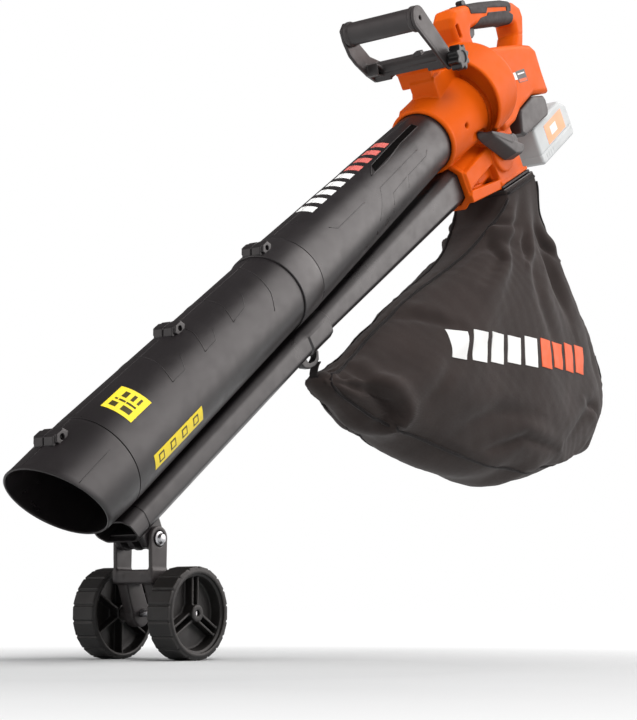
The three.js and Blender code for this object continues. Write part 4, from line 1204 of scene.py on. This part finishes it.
def clamp_knob(grid):
    """Eight lobes round a recessed face."""
    angle = np.arctan2(grid.z - HINGE[1], grid.x - HINGE[0])
    lobes = grid.circle(HINGE, 0) - (16.6 + 2.2 * np.cos(8 * angle))
    body = join(grid.slab(lobes, 67, 84, 2.5), grid.disc(HINGE, 11, 62.6, 70, 0.8), 1.2)
    body = overlap(body, -grid.disc(HINGE, 8.5, 82.2, 95, 0.5), 0.8)
    return cut(body, np.maximum(grid.circle(HINGE, 4.3), grid.y - 66.6))


carve("front_handle_skin", handle_frame, (828, -65, 86), (910, 65, 198), 1.05, DARK,
      "front_handle_frame", "front_handle")
carve("front_grip_skin", front_grip, (829, -58, 157), (869, 58, 197), 0.8, DARK, "front_grip",
      "front_handle")
carve("clamp_knob_skin", clamp_knob, (867, 61, 77), (911, 86, 121), 0.7, BLACK, "handle_knob",
      "clamp_knob")


# ---------------------------------------------------------------- battery and dock
def battery_dock(grid):
    body = grid.prism([(1052, -84), (1066, -60), (1073, -54.5), (1124, -52.5), (1159, -66),
                       (1163, -74), (1160, -92), (1154, -98), (1062, -94)], -46, 46, 5)
    return cut(body, grid.box((1100, -20, -94.4), (1200, 20, -80), 0.5),
               grid.box((1106, -13.2, -120), (1200, 13.2, -90), 0.5))


def battery_pack(grid):
    body = grid.prism([(1104, -102), (1110, -98.5), (1216, -98.5), (1237, -114), (1238, -160),
                       (1232, -165), (1110, -163), (1104, -157)], -38, 38, 5)
    body = cut(body, np.abs(grid.z + 146) - 0.7 + np.maximum(-(body + 1.2), 0))  # seam groove
    body = union(body, grid.box((1114, -19, -93.8), (1182, 19, -87), 0.8),
                 grid.box((1114, -12.6, -104), (1182, 12.6, -90), 0.8))
    notches = [grid.both.box((1118 + 9 * k, 37.2, -158), (1122 + 9 * k, 45, -150), 0.5)
               for k in range(4)]
    return cut(body, *notches, grid.box((1223.4, -16, -146), (1260, 16, -120), 1.0))


def battery_button(grid):
    body = grid.prism([(1227, -121), (1239, -121), (1240.5, -124), (1240.5, -142), (1239, -145),
                       (1227, -145)], -15, 15, 1.2)
    return cut(body, *(grid.box((1239.9, -10, z), (1250, 10, z + 1.4), 0.3)
                       for z in (-140, -136, -132)))


carve("battery_dock_skin", battery_dock, (1046, -49, -101), (1166, 49, -49), 1.2, DARK,
      "battery_dock")
carve("battery_pack_skin", battery_pack, (1100, -41, -168), (1242, 41, -84), 1.5, PALE,
      "battery_pack", "battery")
carve("battery_button_skin", battery_button, (1224, -17, -147), (1243, 17, -118), 0.8, DARK,
      "battery_button", "battery_button")
for side, sign in (("left", 1), ("right", -1)):
    for kind, area, lift, material in (("label_", (1140, 1212, -110, -142), 0.7, PALE_LABEL),
                                       ("mark_", (1158, 1182, -119, -133), 0.95, WHITE)):
        x0, x1, z0, z1 = area
        flat_plate("battery_" + kind + side, [(x0, z0), (x1, z0), (x1, z1), (x0, z1)],
                   sign * (37.6 + lift), sign * 37.4, material, "battery", "battery_pack")

# ---------------------------------------------------------------- bag
# Sections from the neck down, in the axle frame: front seam x, z, half width, outward bulge of
# the front gusset; rear seam x, z, half width; rear middle x, z; widest half width
NECK_REAR = tube_to_axle(1046, -147.2)
STATIONS = np.array([
    (*tube_to_axle(944, -131.5), 46, 0, *NECK_REAR, 46, *NECK_REAR, 46),
    (-748, 660, 46, 1, -840, 706, 46, -842, 706, 46),
    (-712, 634, 36, 3, -842, 680, 45, -846, 681, 52),
    (-655, 580, 22, 3, -846, 660, 44, -854, 664, 60),
    (-585, 534, 14, 3, -868, 642, 42, -880, 650, 68),
    (-530, 503, 12, 3, -895, 620, 41, -912, 630, 76),
    (-480, 470, 12, 3, -922, 596, 40, -944, 607, 82),
    (-437, 440, 13, 3, -968, 559, 39, -994, 571, 88),
    (-388, 405, 14, 4, -1014, 521, 38, -1046, 534, 92),
    (-345, 368, 15, 6, -1054, 481, 37, -1096, 492, 96),
    (-310, 341, 17, 7, -1082, 440, 36, -1112, 452, 98),
    (-368, 322, 22, 9, -1088, 405, 35, -1113, 415, 97),
    (-480, 298, 34, 14, -1084, 378, 34, -1112, 380, 94),
    (-585, 280, 44, 19, -1066, 366, 33, -1094, 360, 87),
    (-690, 268, 50, 20, -1046, 350, 32, -1070, 338, 76),
    (-790, 270, 50, 16, -1016, 332, 31, -1032, 316, 63),
    (-876, 290, 44, 8, -948, 312, 30, -952, 302, 50),
], float)
GUSSET, PANEL = 8, 22  # mesh columns
ROWS = 46
COLUMNS = 2 * (GUSSET + PANEL)


def station(place):
    """The section at a fractional row of STATIONS, on a smooth curve through them."""
    i = int(min(max(math.floor(place), 0), len(STATIONS) - 2))
    u = place - i
    a, b, c, d = (STATIONS[min(max(k, 0), len(STATIONS) - 1)] for k in range(i - 1, i + 3))
    square, cube = (2 * a - 5 * b + 4 * c - d) * u * u, (3 * b - a - 3 * c + d) * u ** 3
    return 0.5 * (2 * b + (c - a) * u + square + cube)


def bag_loops():
    """Loops round the bag: front gusset, left panel, rear gusset, right panel."""
    last = len(STATIONS) - 1
    loops = []
    for place in np.linspace(0, last, ROWS):
        (front_x, front_z, front_half, bulge, rear_x, rear_z, rear_half, middle_x, middle_z,
         widest) = station(place)
        along = (station(min(place + 0.05, last)) - station(max(place - 0.05, 0)))[:2]
        normal = np.array([-along[1], along[0]]) / (np.hypot(*along) or 1)
        if normal @ np.array([front_x - rear_x, front_z - rear_z]) < 0:
            normal = -normal
        loop = []
        for j in range(GUSSET):
            k = 2 * j / GUSSET - 1
            loop.append((front_x + normal[0] * bulge * (1 - k * k), front_half * k,
                         front_z + normal[1] * bulge * (1 - k * k)))
        belly = max(widest - (front_half + rear_half) / 2, 0)
        side = []
        for j in range(PANEL):
            k = j / PANEL
            y = front_half * (1 - k) + rear_half * k + belly * math.sin(math.pi * k) ** 0.75
            side.append((front_x + (rear_x - front_x) * k, y, front_z + (rear_z - front_z) * k))
        loop += side
        for j in range(GUSSET):
            k = 1 - 2 * j / GUSSET
            loop.append((rear_x + (middle_x - rear_x) * (1 - k * k), rear_half * k,
                         rear_z + (middle_z - rear_z) * (1 - k * k)))
        loop.append((rear_x, -rear_half, rear_z))
        loop += [(x, -y, z) for x, y, z in side[:0:-1]]
        loops.append(loop)
    return loops


bag = loops_mesh("bag_skin", bag_loops(), axle_to_world, cap=False)
with edited(bag) as work:  # close the bottom with a fan
    work.verts.ensure_lookup_table()
    rim = [work.verts[(ROWS - 1) * COLUMNS + j] for j in range(COLUMNS)]
    centre = work.verts.new(sum((vert.co for vert in rim), Vector()) / COLUMNS)
    for j in range(COLUMNS):
        work.faces.new((rim[j], rim[(j + 1) % COLUMNS], centre))
    face_outwards(work)


def pin_bag():
    """Holds the neck, the front corner and the upper part of the rear middle."""
    pin = bag.vertex_groups.new(name="pin")
    for j in range(COLUMNS):
        pin.add([j], 1.0, "REPLACE")
        pin.add([COLUMNS + j], 0.9, "REPLACE")
    corner = axle_point(-312, 341)
    for i, vert in enumerate(bag.data.vertices):
        x, y, z = vert.co
        if (vert.co - corner).length < 0.03:
            pin.add([i], 0.95, "REPLACE")
        elif abs(y) < 0.016 and 0.34 < z < 0.50 and x < (-1060 + AXLE_X) / 1000:
            pin.add([i], 0.9, "REPLACE")


CLOTH_SETTINGS = dict(
    quality=6, mass=0.25, air_damping=2,
    tension_stiffness=18, compression_stiffness=6, shear_stiffness=4, bending_stiffness=0.35,
    tension_damping=8, compression_damping=8,
    vertex_group_mass="pin", pin_stiffness=1.0,
    use_pressure=True, uniform_pressure_force=1.0, shrink_min=-0.03)
LAST_FRAME = 26
FARTHEST = 0.013  # metres any point may settle


def settled():
    rest = vectors(bag.data).astype(float)
    modifier = bag.modifiers.new("cloth", "CLOTH")
    for key, value in CLOTH_SETTINGS.items():
        setattr(modifier.settings, key, value)
    modifier.collision_settings.use_collision = False
    scene = bpy.context.scene
    for timing in (scene, modifier.point_cache):
        timing.frame_start, timing.frame_end = 1, LAST_FRAME
    for i in range(1, LAST_FRAME + 1):
        scene.frame_set(i)
    depsgraph = bpy.context.evaluated_depsgraph_get()
    move = vectors(bag.evaluated_get(depsgraph).data).astype(float) - rest
    bag.modifiers.remove(modifier)
    scene.frame_set(1)
    distance = np.linalg.norm(move, axis=1, keepdims=True)
    return rest + move * np.minimum(1, FARTHEST / np.maximum(distance, 1e-9))


pin_bag()
BAG_POINTS = settled()

# Folds on the panels: path (axle frame x, z), depth, width
FOLDS = [
    ([(-794, 644), (-774, 602), (-762, 575)], 9, 9),
    ([(-786, 630), (-708, 621), (-641, 631), (-608, 633)], 7, 8),
    ([(-793, 667), (-715, 643), (-667, 619)], 6, 8),
    ([(-749, 597), (-639, 570), (-549, 538), (-453, 487), (-359, 428)], 5, 13),
    ([(-513, 541), (-431, 489), (-386, 452)], 4, 11),
    ([(-358, 359), (-395, 327), (-428, 307), (-414, 289)], 11, 13),
    ([(-330, 365), (-345, 347), (-368, 330)], 4, 9),
    ([(-333, 411), (-408, 431), (-458, 443)], 3.5, 12),
    ([(-810, 640), (-850, 570), (-905, 500)], 6, 17),
    ([(-775, 600), (-790, 510), (-830, 440)], 4, 20),
    ([(-960, 540), (-1000, 470), (-1030, 400)], 3.5, 16),
    ([(-560, 300), (-640, 330), (-740, 335)], 4, 16),
    ([(-800, 668), (-822, 640), (-846, 612), (-880, 596)], 8, 9),
    ([(-700, 600), (-690, 560), (-640, 520)], 5, 9),
    ([(-420, 445), (-500, 452), (-560, 440)], 4, 12),
    ([(-1020, 350), (-1000, 372), (-940, 380)], 5, 10),
    ([(-640, 275), (-720, 300), (-830, 290)], 5, 10),
    ([(-860, 300), (-930, 345), (-1020, 400)], 4, 16),
    ([(-470, 320), (-520, 380), (-600, 420)], 3.5, 18),
]
RIGHT_SHIFT = (14, -9)  # moves the right panel's folds off the left's


def fold_height(x, z, shift=(0, 0)):
    """A valley along each fold line and a ridge beside it."""
    total = np.zeros_like(x)
    for path, depth, width in FOLDS:
        nearest = np.full_like(x, 1e9)
        sign = np.ones_like(x)
        along = np.zeros_like(x)
        path = [(a + shift[0], b + shift[1]) for a, b in path]
        for k, ((x0, z0), (x1, z1)) in enumerate(zip(path, path[1:])):
            run, rise = x1 - x0, z1 - z0
            part = ((x - x0) * run + (z - z0) * rise) / (run * run + rise * rise)
            part = np.clip(part, 0, 1)
            distance = np.hypot(x - x0 - part * run, z - z0 - part * rise)
            near = distance < nearest
            nearest = np.where(near, distance, nearest)
            sign = np.where(near, np.sign((x - x0) * rise - (z - z0) * run), sign)
            along = np.where(near, (k + part) / (len(path) - 1), along)
        off = nearest * sign
        fade = np.sin(np.clip(along, 0.04, 0.96) * math.pi) ** 0.6
        valley = -1.35 * np.exp(-(off / (0.72 * width)) ** 2)
        ridge = 0.85 * np.exp(-((off - 1.5 * width) / (1.1 * width)) ** 2)
        total += fade * depth * (valley + ridge)
    return total


def bake_modifiers(piece):
    depsgraph = bpy.context.evaluated_depsgraph_get()
    mesh = bpy.data.meshes.new_from_object(piece.evaluated_get(depsgraph))
    piece.modifiers.clear()
    piece.data = mesh


def crumple(points, normals):
    """Moves the dense bag's points along their normals into folds and gathers."""
    x, y, z = points[:, 0] * 1000 - AXLE_X, points[:, 1] * 1000, points[:, 2] * 1000
    sin = np.sin

    def gathers(centre, height, ring, width, count, ripple, wave, swirl, skew):
        """Rays round a centre, strongest at radius ring.

        ripple and wave bend the rays; swirl and skew turn them with radius and with y.
        """
        reach = np.hypot(x - centre[0], z - centre[1])
        angle = np.arctan2(z - centre[1], x - centre[0])
        rays = sin(angle * count + ripple * sin(reach / wave) + swirl * reach + skew * y)
        return height * np.exp(-((reach - ring) / width) ** 2) * rays

    # Each mask is 1 where its creases belong.
    panel = np.clip((np.abs(normals[:, 1]) - 0.25) / 0.4, 0, 1)
    off_neck = np.clip((np.hypot(x + 790, z - 700) - 62) / 60, 0, 1)
    low = np.clip((560 - z) / 160, 0, 1)
    facing_down = np.clip((-normals[:, 2] - 0.35) / 0.4, 0, 1)
    under = facing_down * np.clip((-330 - x) / 60, 0, 1)
    off_zip = np.clip((x + 1085) / 30, 0, 1)

    height = np.where(y > 0, fold_height(x, z), fold_height(x, z, RIGHT_SHIFT)) * panel
    # under the neck
    height += gathers((-795, 705), height=3.2, ring=105, width=60, count=13, ripple=1.2, wave=34,
                      swirl=0, skew=0.02) * np.clip(panel + 0.2, 0, 1)
    # at the front corner
    height += gathers((-312, 345), height=2.6, ring=70, width=70, count=16, ripple=0.6, wave=21,
                      swirl=0.02, skew=0) * panel
    # slack cloth lower down
    slack = sin(x / 41 + 1.4 * sin(z / 37)) * sin(z / 33 + 1.1 * sin(x / 51))
    height += 1.5 * panel * slack * low
    # creases across the underside
    creases = under * 3.4 * sin(x / 24 + 0.045 * y + 1.3 * sin(x / 61))
    height += creases * np.clip((380 - z) / 60, 0, 1)
    # fine puckers all over
    height += 0.45 * sin(x * 0.21 + 3 * sin(z * 0.04)) * sin(
        z * 0.17 + 2 * sin(x * 0.033 + y * 0.025))
    height *= off_neck * np.where(np.abs(y) < 30, off_zip, 1)
    return points + normals * (height / 1000)[:, None]


bag.vertex_groups.clear()
move_vertices(bag.data, BAG_POINTS)
subdivision = bag.modifiers.new("sub", "SUBSURF")
subdivision.levels = subdivision.render_levels = 2
bake_modifiers(bag)
move_vertices(bag.data, crumple(vectors(bag.data).astype(float),
                                vectors(bag.data, "normal").astype(float)))
solid = bag.modifiers.new("thick", "SOLIDIFY")
solid.thickness = 0.0014
solid.offset = -1
bake_modifiers(bag)
bag.data.shade_smooth()
stand_in(bag, CLOTH, "bag", "bag_body")
BAG_SURFACE = BVHTree.FromPolygons([vert.co for vert in bag.data.vertices],
                                   [list(face.vertices) for face in bag.data.polygons])


def cord(name, points, radius, sides=8):
    """A round welt along world points."""
    loops = []
    for i, point in enumerate(points):
        along = (points[min(i + 1, len(points) - 1)] - points[max(i - 1, 0)]).normalized()
        across = along.cross(Vector((0, 1, 0)))
        if across.length < 0.1:
            across = along.cross(Vector((1, 0, 0)))
        across.normalize()
        other = along.cross(across).normalized()
        turns = [2 * math.pi * k / sides for k in range(sides)]
        loops.append([point + (across * math.cos(turn) + other * math.sin(turn)) * radius
                      for turn in turns])
    dress(loops_mesh(name, loops, np.asarray), PIPING, "bag", "bag_body")


def smooth_path(points, count=140):
    """A denser, rounder copy of a polyline."""
    points = np.array(points, float)
    for _ in range(2):
        rounder = points.copy()
        rounder[1:-1] = (points[:-2] + 2 * points[1:-1] + points[2:]) / 4
        points = rounder
    lengths = np.linalg.norm(np.diff(points, axis=0), axis=1)
    at = np.concatenate([[0], np.cumsum(lengths)])
    wanted = np.linspace(0, at[-1], count)
    return np.stack([np.interp(wanted, at, points[:, k]) for k in range(3)], 1)


def hug(points, lift=0.0008):
    """Moves points onto the bag, a little outside it."""
    middle = axle_point(-720, 450)
    placed = []
    for point in points:
        spot, normal = BAG_SURFACE.find_nearest(Vector(point))[:2]
        if normal.dot(Vector(point) - middle) < 0:
            normal = -normal
        placed.append(spot + normal * lift)
    return placed


# welts down the four panel seams, and a binding round the neck
BAG_NET = BAG_POINTS[:ROWS * COLUMNS].reshape(ROWS, COLUMNS, 3)
for k, column in enumerate((GUSSET, 0, GUSSET + PANEL, 2 * GUSSET + PANEL)):
    cord("bag_welt_%d" % k, hug(smooth_path(BAG_NET[2:, column])), 0.0023)
neck = np.concatenate([BAG_NET[1], BAG_NET[1, :1]])
cord("bag_neck_band", hug(smooth_path(neck, 160)), 0.0026)


def cast_patch(name, corners, material, lift=0.0009):
    """A thin print cast from the left onto the cloth, between (x, z) corners."""
    top, bottom = [], []
    for x, z in spread(corners, 7, 7):
        spot, normal = BAG_SURFACE.ray_cast(axle_point(x, z, 200), Vector((0, -1, 0)))[:2]
        if spot is None:  # a print that hangs off the bag is left out
            return
        if normal.y < 0:
            normal = -normal
        top.append(tuple(spot + normal * lift))
        bottom.append(tuple(spot - normal * 0.0004))
    dress(sheet(name, top, bottom, 7, 7, np.asarray), material, "bag", "bag_body")


for i in range(9):
    x = -548 - i * 46.5
    z = 414 + i * 3.1
    half = (44 if i % 3 else 40) / 2
    cast_patch("bag_print_%d" % i, [(x + 20, z - half), (x - 14, z - half), (x - 20, z + half),
                                    (x + 14, z + half)], WHITE if i < 5 else RED)


# ---------------------------------------------------------------- zip and strap, metres
def zip_tape(path):
    layers = [[(point.x + depth, y, point.z) for point in path
               for y in np.linspace(-0.009, 0.009, 7)] for depth in (-0.0004, 0.0016)]
    stand_in(sheet("bag_zip_tape", *layers, len(path), 7, np.asarray), PIPING, "bag", "bag_zip")


def zip_teeth(path, count=52, top=0.473, bottom=0.370):
    """Small blocks set left and right of the zip's middle by turns."""
    box_faces = ((0, 1, 3, 2), (4, 6, 7, 5), (0, 4, 5, 1), (2, 3, 7, 6), (0, 2, 6, 4),
                 (1, 5, 7, 3))
    points, faces = [], []
    last = len(path) - 1
    for i in range(count):
        part = i / (count - 1)
        place = part * last
        here, there = path[min(last, int(place))], path[min(last, int(place) + 1)]
        x = here.x + (there.x - here.x) * (place % 1) - 0.0008
        y = 0.0008 * (1 if i % 2 else -1)
        z = top + (bottom - top) * part
        faces += [tuple(len(points) + k for k in face) for face in box_faces]
        points += [(x + dx, y + dy, z + dz) for dx in (-0.0005, 0.0005)
                   for dy in (-0.0014, 0.0014) for dz in (-0.0006, 0.0006)]
    teeth = mesh_from("bag_zip_teeth", np.array(points), faces, closed=False)
    dress(sharpen(teeth, 20), BRASS, "bag", "bag_zip")


def zip_pull(grid):
    body = cut(grid.box((-1120.2, -4.4, 452), (-1115.6, 4.4, 466), 1.2),
               grid.box((-1117.8, -3.0, 440), (-1100, 3.0, 480)))  # the teeth run through
    tab = cut(grid.box((-1120.4, -2.6, 432), (-1118.8, 2.6, 455), 0.7),
              grid.box((-1125, -1.2, 435), (-1110, 1.2, 440), 0.8))
    return join(body, tab, 0.8)


ZIP_PATH = [BAG_SURFACE.ray_cast(axle_point(-1300, z), Vector((1, 0, 0)))[0]
            + Vector((-0.0012, 0, 0)) for z in np.linspace(474, 368, 20)]
zip_tape(ZIP_PATH)
zip_teeth(ZIP_PATH)
carve("zip_slider_skin", zip_pull, (-1122, -5, 429), (-1112, 5, 469), 0.45, STEEL, "zip_pull",
      "zip_pull", axle_to_world)


def front_strap():
    """Flat webbing from the bag's front corner up to the hook under the blower tube."""
    hook = axle_point(*tube_to_axle(410, -118))
    corner = BAG_SURFACE.find_nearest(axle_point(-296, 350))[0]
    path = smooth_path([
        corner + Vector((-0.012, 0, -0.004)), corner + Vector((0.004, 0, 0.004)),
        hook * 0.45 + corner * 0.55 + Vector((0.004, 0, -0.004)),
        hook + Vector((-0.012, 0, -0.006)), hook + Vector((-0.001, 0, 0.0045)),
        hook + Vector((-0.012, 0, 0.006))], 40)
    half_thickness = 0.0007
    top, bottom = [], []
    for i, point in enumerate(path):
        along = path[min(i + 1, len(path) - 1)] - path[max(i - 1, 0)]
        normal = np.array([-along[2], 0, along[0]])
        normal = normal / (np.linalg.norm(normal) or 1)
        for y in np.linspace(-0.006, 0.006, 5):
            top.append(tuple(point + normal * half_thickness + np.array([0, y, 0])))
            bottom.append(tuple(point - normal * half_thickness + np.array([0, y, 0])))
    strap = sheet("bag_front_strap", top, bottom, len(path), 5, np.asarray)
    strap.data.materials.append(PIPING)
    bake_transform(strap)


front_strap()


# ---------------------------------------------------------------- floor, light and camera
def studio_floor():
    """A grey floor that fades into a white glow away from the machine."""
    corners = np.array([(-30, -30, 0), (30, -30, 0), (30, 30, 0), (-30, 30, 0)], float)
    floor = mesh_from("studio_floor", corners, [(0, 1, 2, 3)], closed=False)
    n = Surface("floor_pale")
    greys = (0.44, 0.44, 0.44, 1), (0.46, 0.46, 0.46, 1)
    n.set(Base_Color=n.mix(n.ramp(n.noise(scale=3)), *greys), Roughness=0.9,
          Specular_IOR_Level=0.05)
    offset = n.new("ShaderNodeVectorMath", operation="SUBTRACT")
    offset.inputs[1].default_value = (0.64, 0.17, 0.0)  # middle of the grey patch
    n.feed(offset.inputs[0], n.place)
    distance = n.new("ShaderNodeVectorMath", operation="LENGTH")
    n.feed(distance.inputs[0], offset.outputs[0])
    glow = n.new("ShaderNodeEmission")
    glow.inputs["Strength"].default_value = 1.02
    mixer = n.new("ShaderNodeMixShader")
    fade = n.ramp(distance.outputs["Value"], start=0.30, end=0.95)
    for socket, value in zip(mixer.inputs, (fade, n.shader.outputs[0], glow.outputs[0])):
        n.feed(socket, value)
    n.feed(n.out.inputs[0], mixer.outputs[0])
    floor.data.materials.append(n.material)


def studio_world():
    """White to the camera, soft light on matt pieces, bright patches on shiny ones."""
    world = bpy.data.worlds.new("studio")
    bpy.context.scene.world = world
    n = Tree(world)
    out, view, kind, seen, soft, gloss, path, coords = (n.new("ShaderNode" + name) for name in (
        "OutputWorld", "MixShader", "MixShader", "Background", "Background", "Background",
        "LightPath", "TexCoord"))
    seen.inputs[0].default_value = (1, 1, 1, 1)
    soft.inputs[0].default_value = (0.97, 0.985, 1, 1)
    soft.inputs[1].default_value = 0.4
    gloss.inputs[0].default_value = (1, 0.95, 0.935, 1)

    def patch(direction, start, end, strength):
        """A bright patch that fades in between two cosines off a direction."""
        dot = n.new("ShaderNodeVectorMath", operation="DOT_PRODUCT")
        n.feed(dot.inputs[0], coords.outputs["Generated"])
        dot.inputs[1].default_value = Vector(direction).normalized()
        return n.ramp(dot.outputs["Value"], high=strength, start=start, end=end,
                      interpolation_type="SMOOTHSTEP")

    glow = 0.10
    for direction, start, end, strength in (((-0.62, 0.60, 0.50), 0.70, 0.97, 3.5),
                                            ((0.75, -0.6, 0.35), 0.8, 0.98, 1.3),
                                            ((0.3, 0.9, 0.25), 0.85, 0.99, 0.7)):
        glow = n.math("ADD", glow, patch(direction, start, end, strength))
    n.feed(gloss.inputs[1], glow)
    for mixer, ray, others, chosen in ((kind, "Is Glossy Ray", soft, gloss),
                                       (view, "Is Camera Ray", kind, seen)):
        n.feed(mixer.inputs[0], path.outputs[ray])
        n.feed(mixer.inputs[1], others.outputs[0])
        n.feed(mixer.inputs[2], chosen.outputs[0])
    n.feed(out.inputs[0], view.outputs[0])


def softbox(name, place, target, width, watts, height=None):
    light = bpy.data.lights.new(name, "AREA")
    light.shape = "RECTANGLE"
    light.size = width
    light.size_y = height or width
    light.energy = watts
    lamp = bpy.data.objects.new(name, light)
    lamp.location = place
    aim = Vector(target) - Vector(place)
    lamp.rotation_euler = aim.to_track_quat("-Z", "Y").to_euler()
    lamp.visible_glossy = False
    bpy.context.scene.collection.objects.link(lamp)


def studio_camera():
    lens = bpy.data.cameras.new("camera")
    lens.sensor_width = 36
    lens.lens = 82.31
    camera = bpy.data.objects.new("camera", lens)
    camera.location = (1.3811 + AXLE_X / 1000, 1.2110, 0.0538)
    backward = Vector((0.8052, 0.5737, -0.1500)).normalized()
    camera.rotation_euler = (-backward).to_track_quat("-Z", "Y").to_euler()
    scene = bpy.context.scene
    scene.collection.objects.link(camera)
    scene.camera = camera
    scene.view_settings.view_transform = "Standard"
    scene.view_settings.look = "None"


studio_floor()
studio_world()
softbox("key", place=(1.3, 1.5, 2.4), target=(-0.1, 0, 0.5), width=1.4, watts=52)
softbox("side", place=(-1.6, 2.2, 1.7), target=(-0.1, 0, 0.6), width=1.6, watts=40, height=1.2)
softbox("left", place=(1.6, -1.8, 1.4), target=(0.1, 0, 0.5), width=1.4, watts=22)
softbox("top", place=(-0.2, 0.2, 3.2), target=(-0.1, 0, 0.3), width=2.6, watts=58)
studio_camera()

bpy.context.view_layer.update()
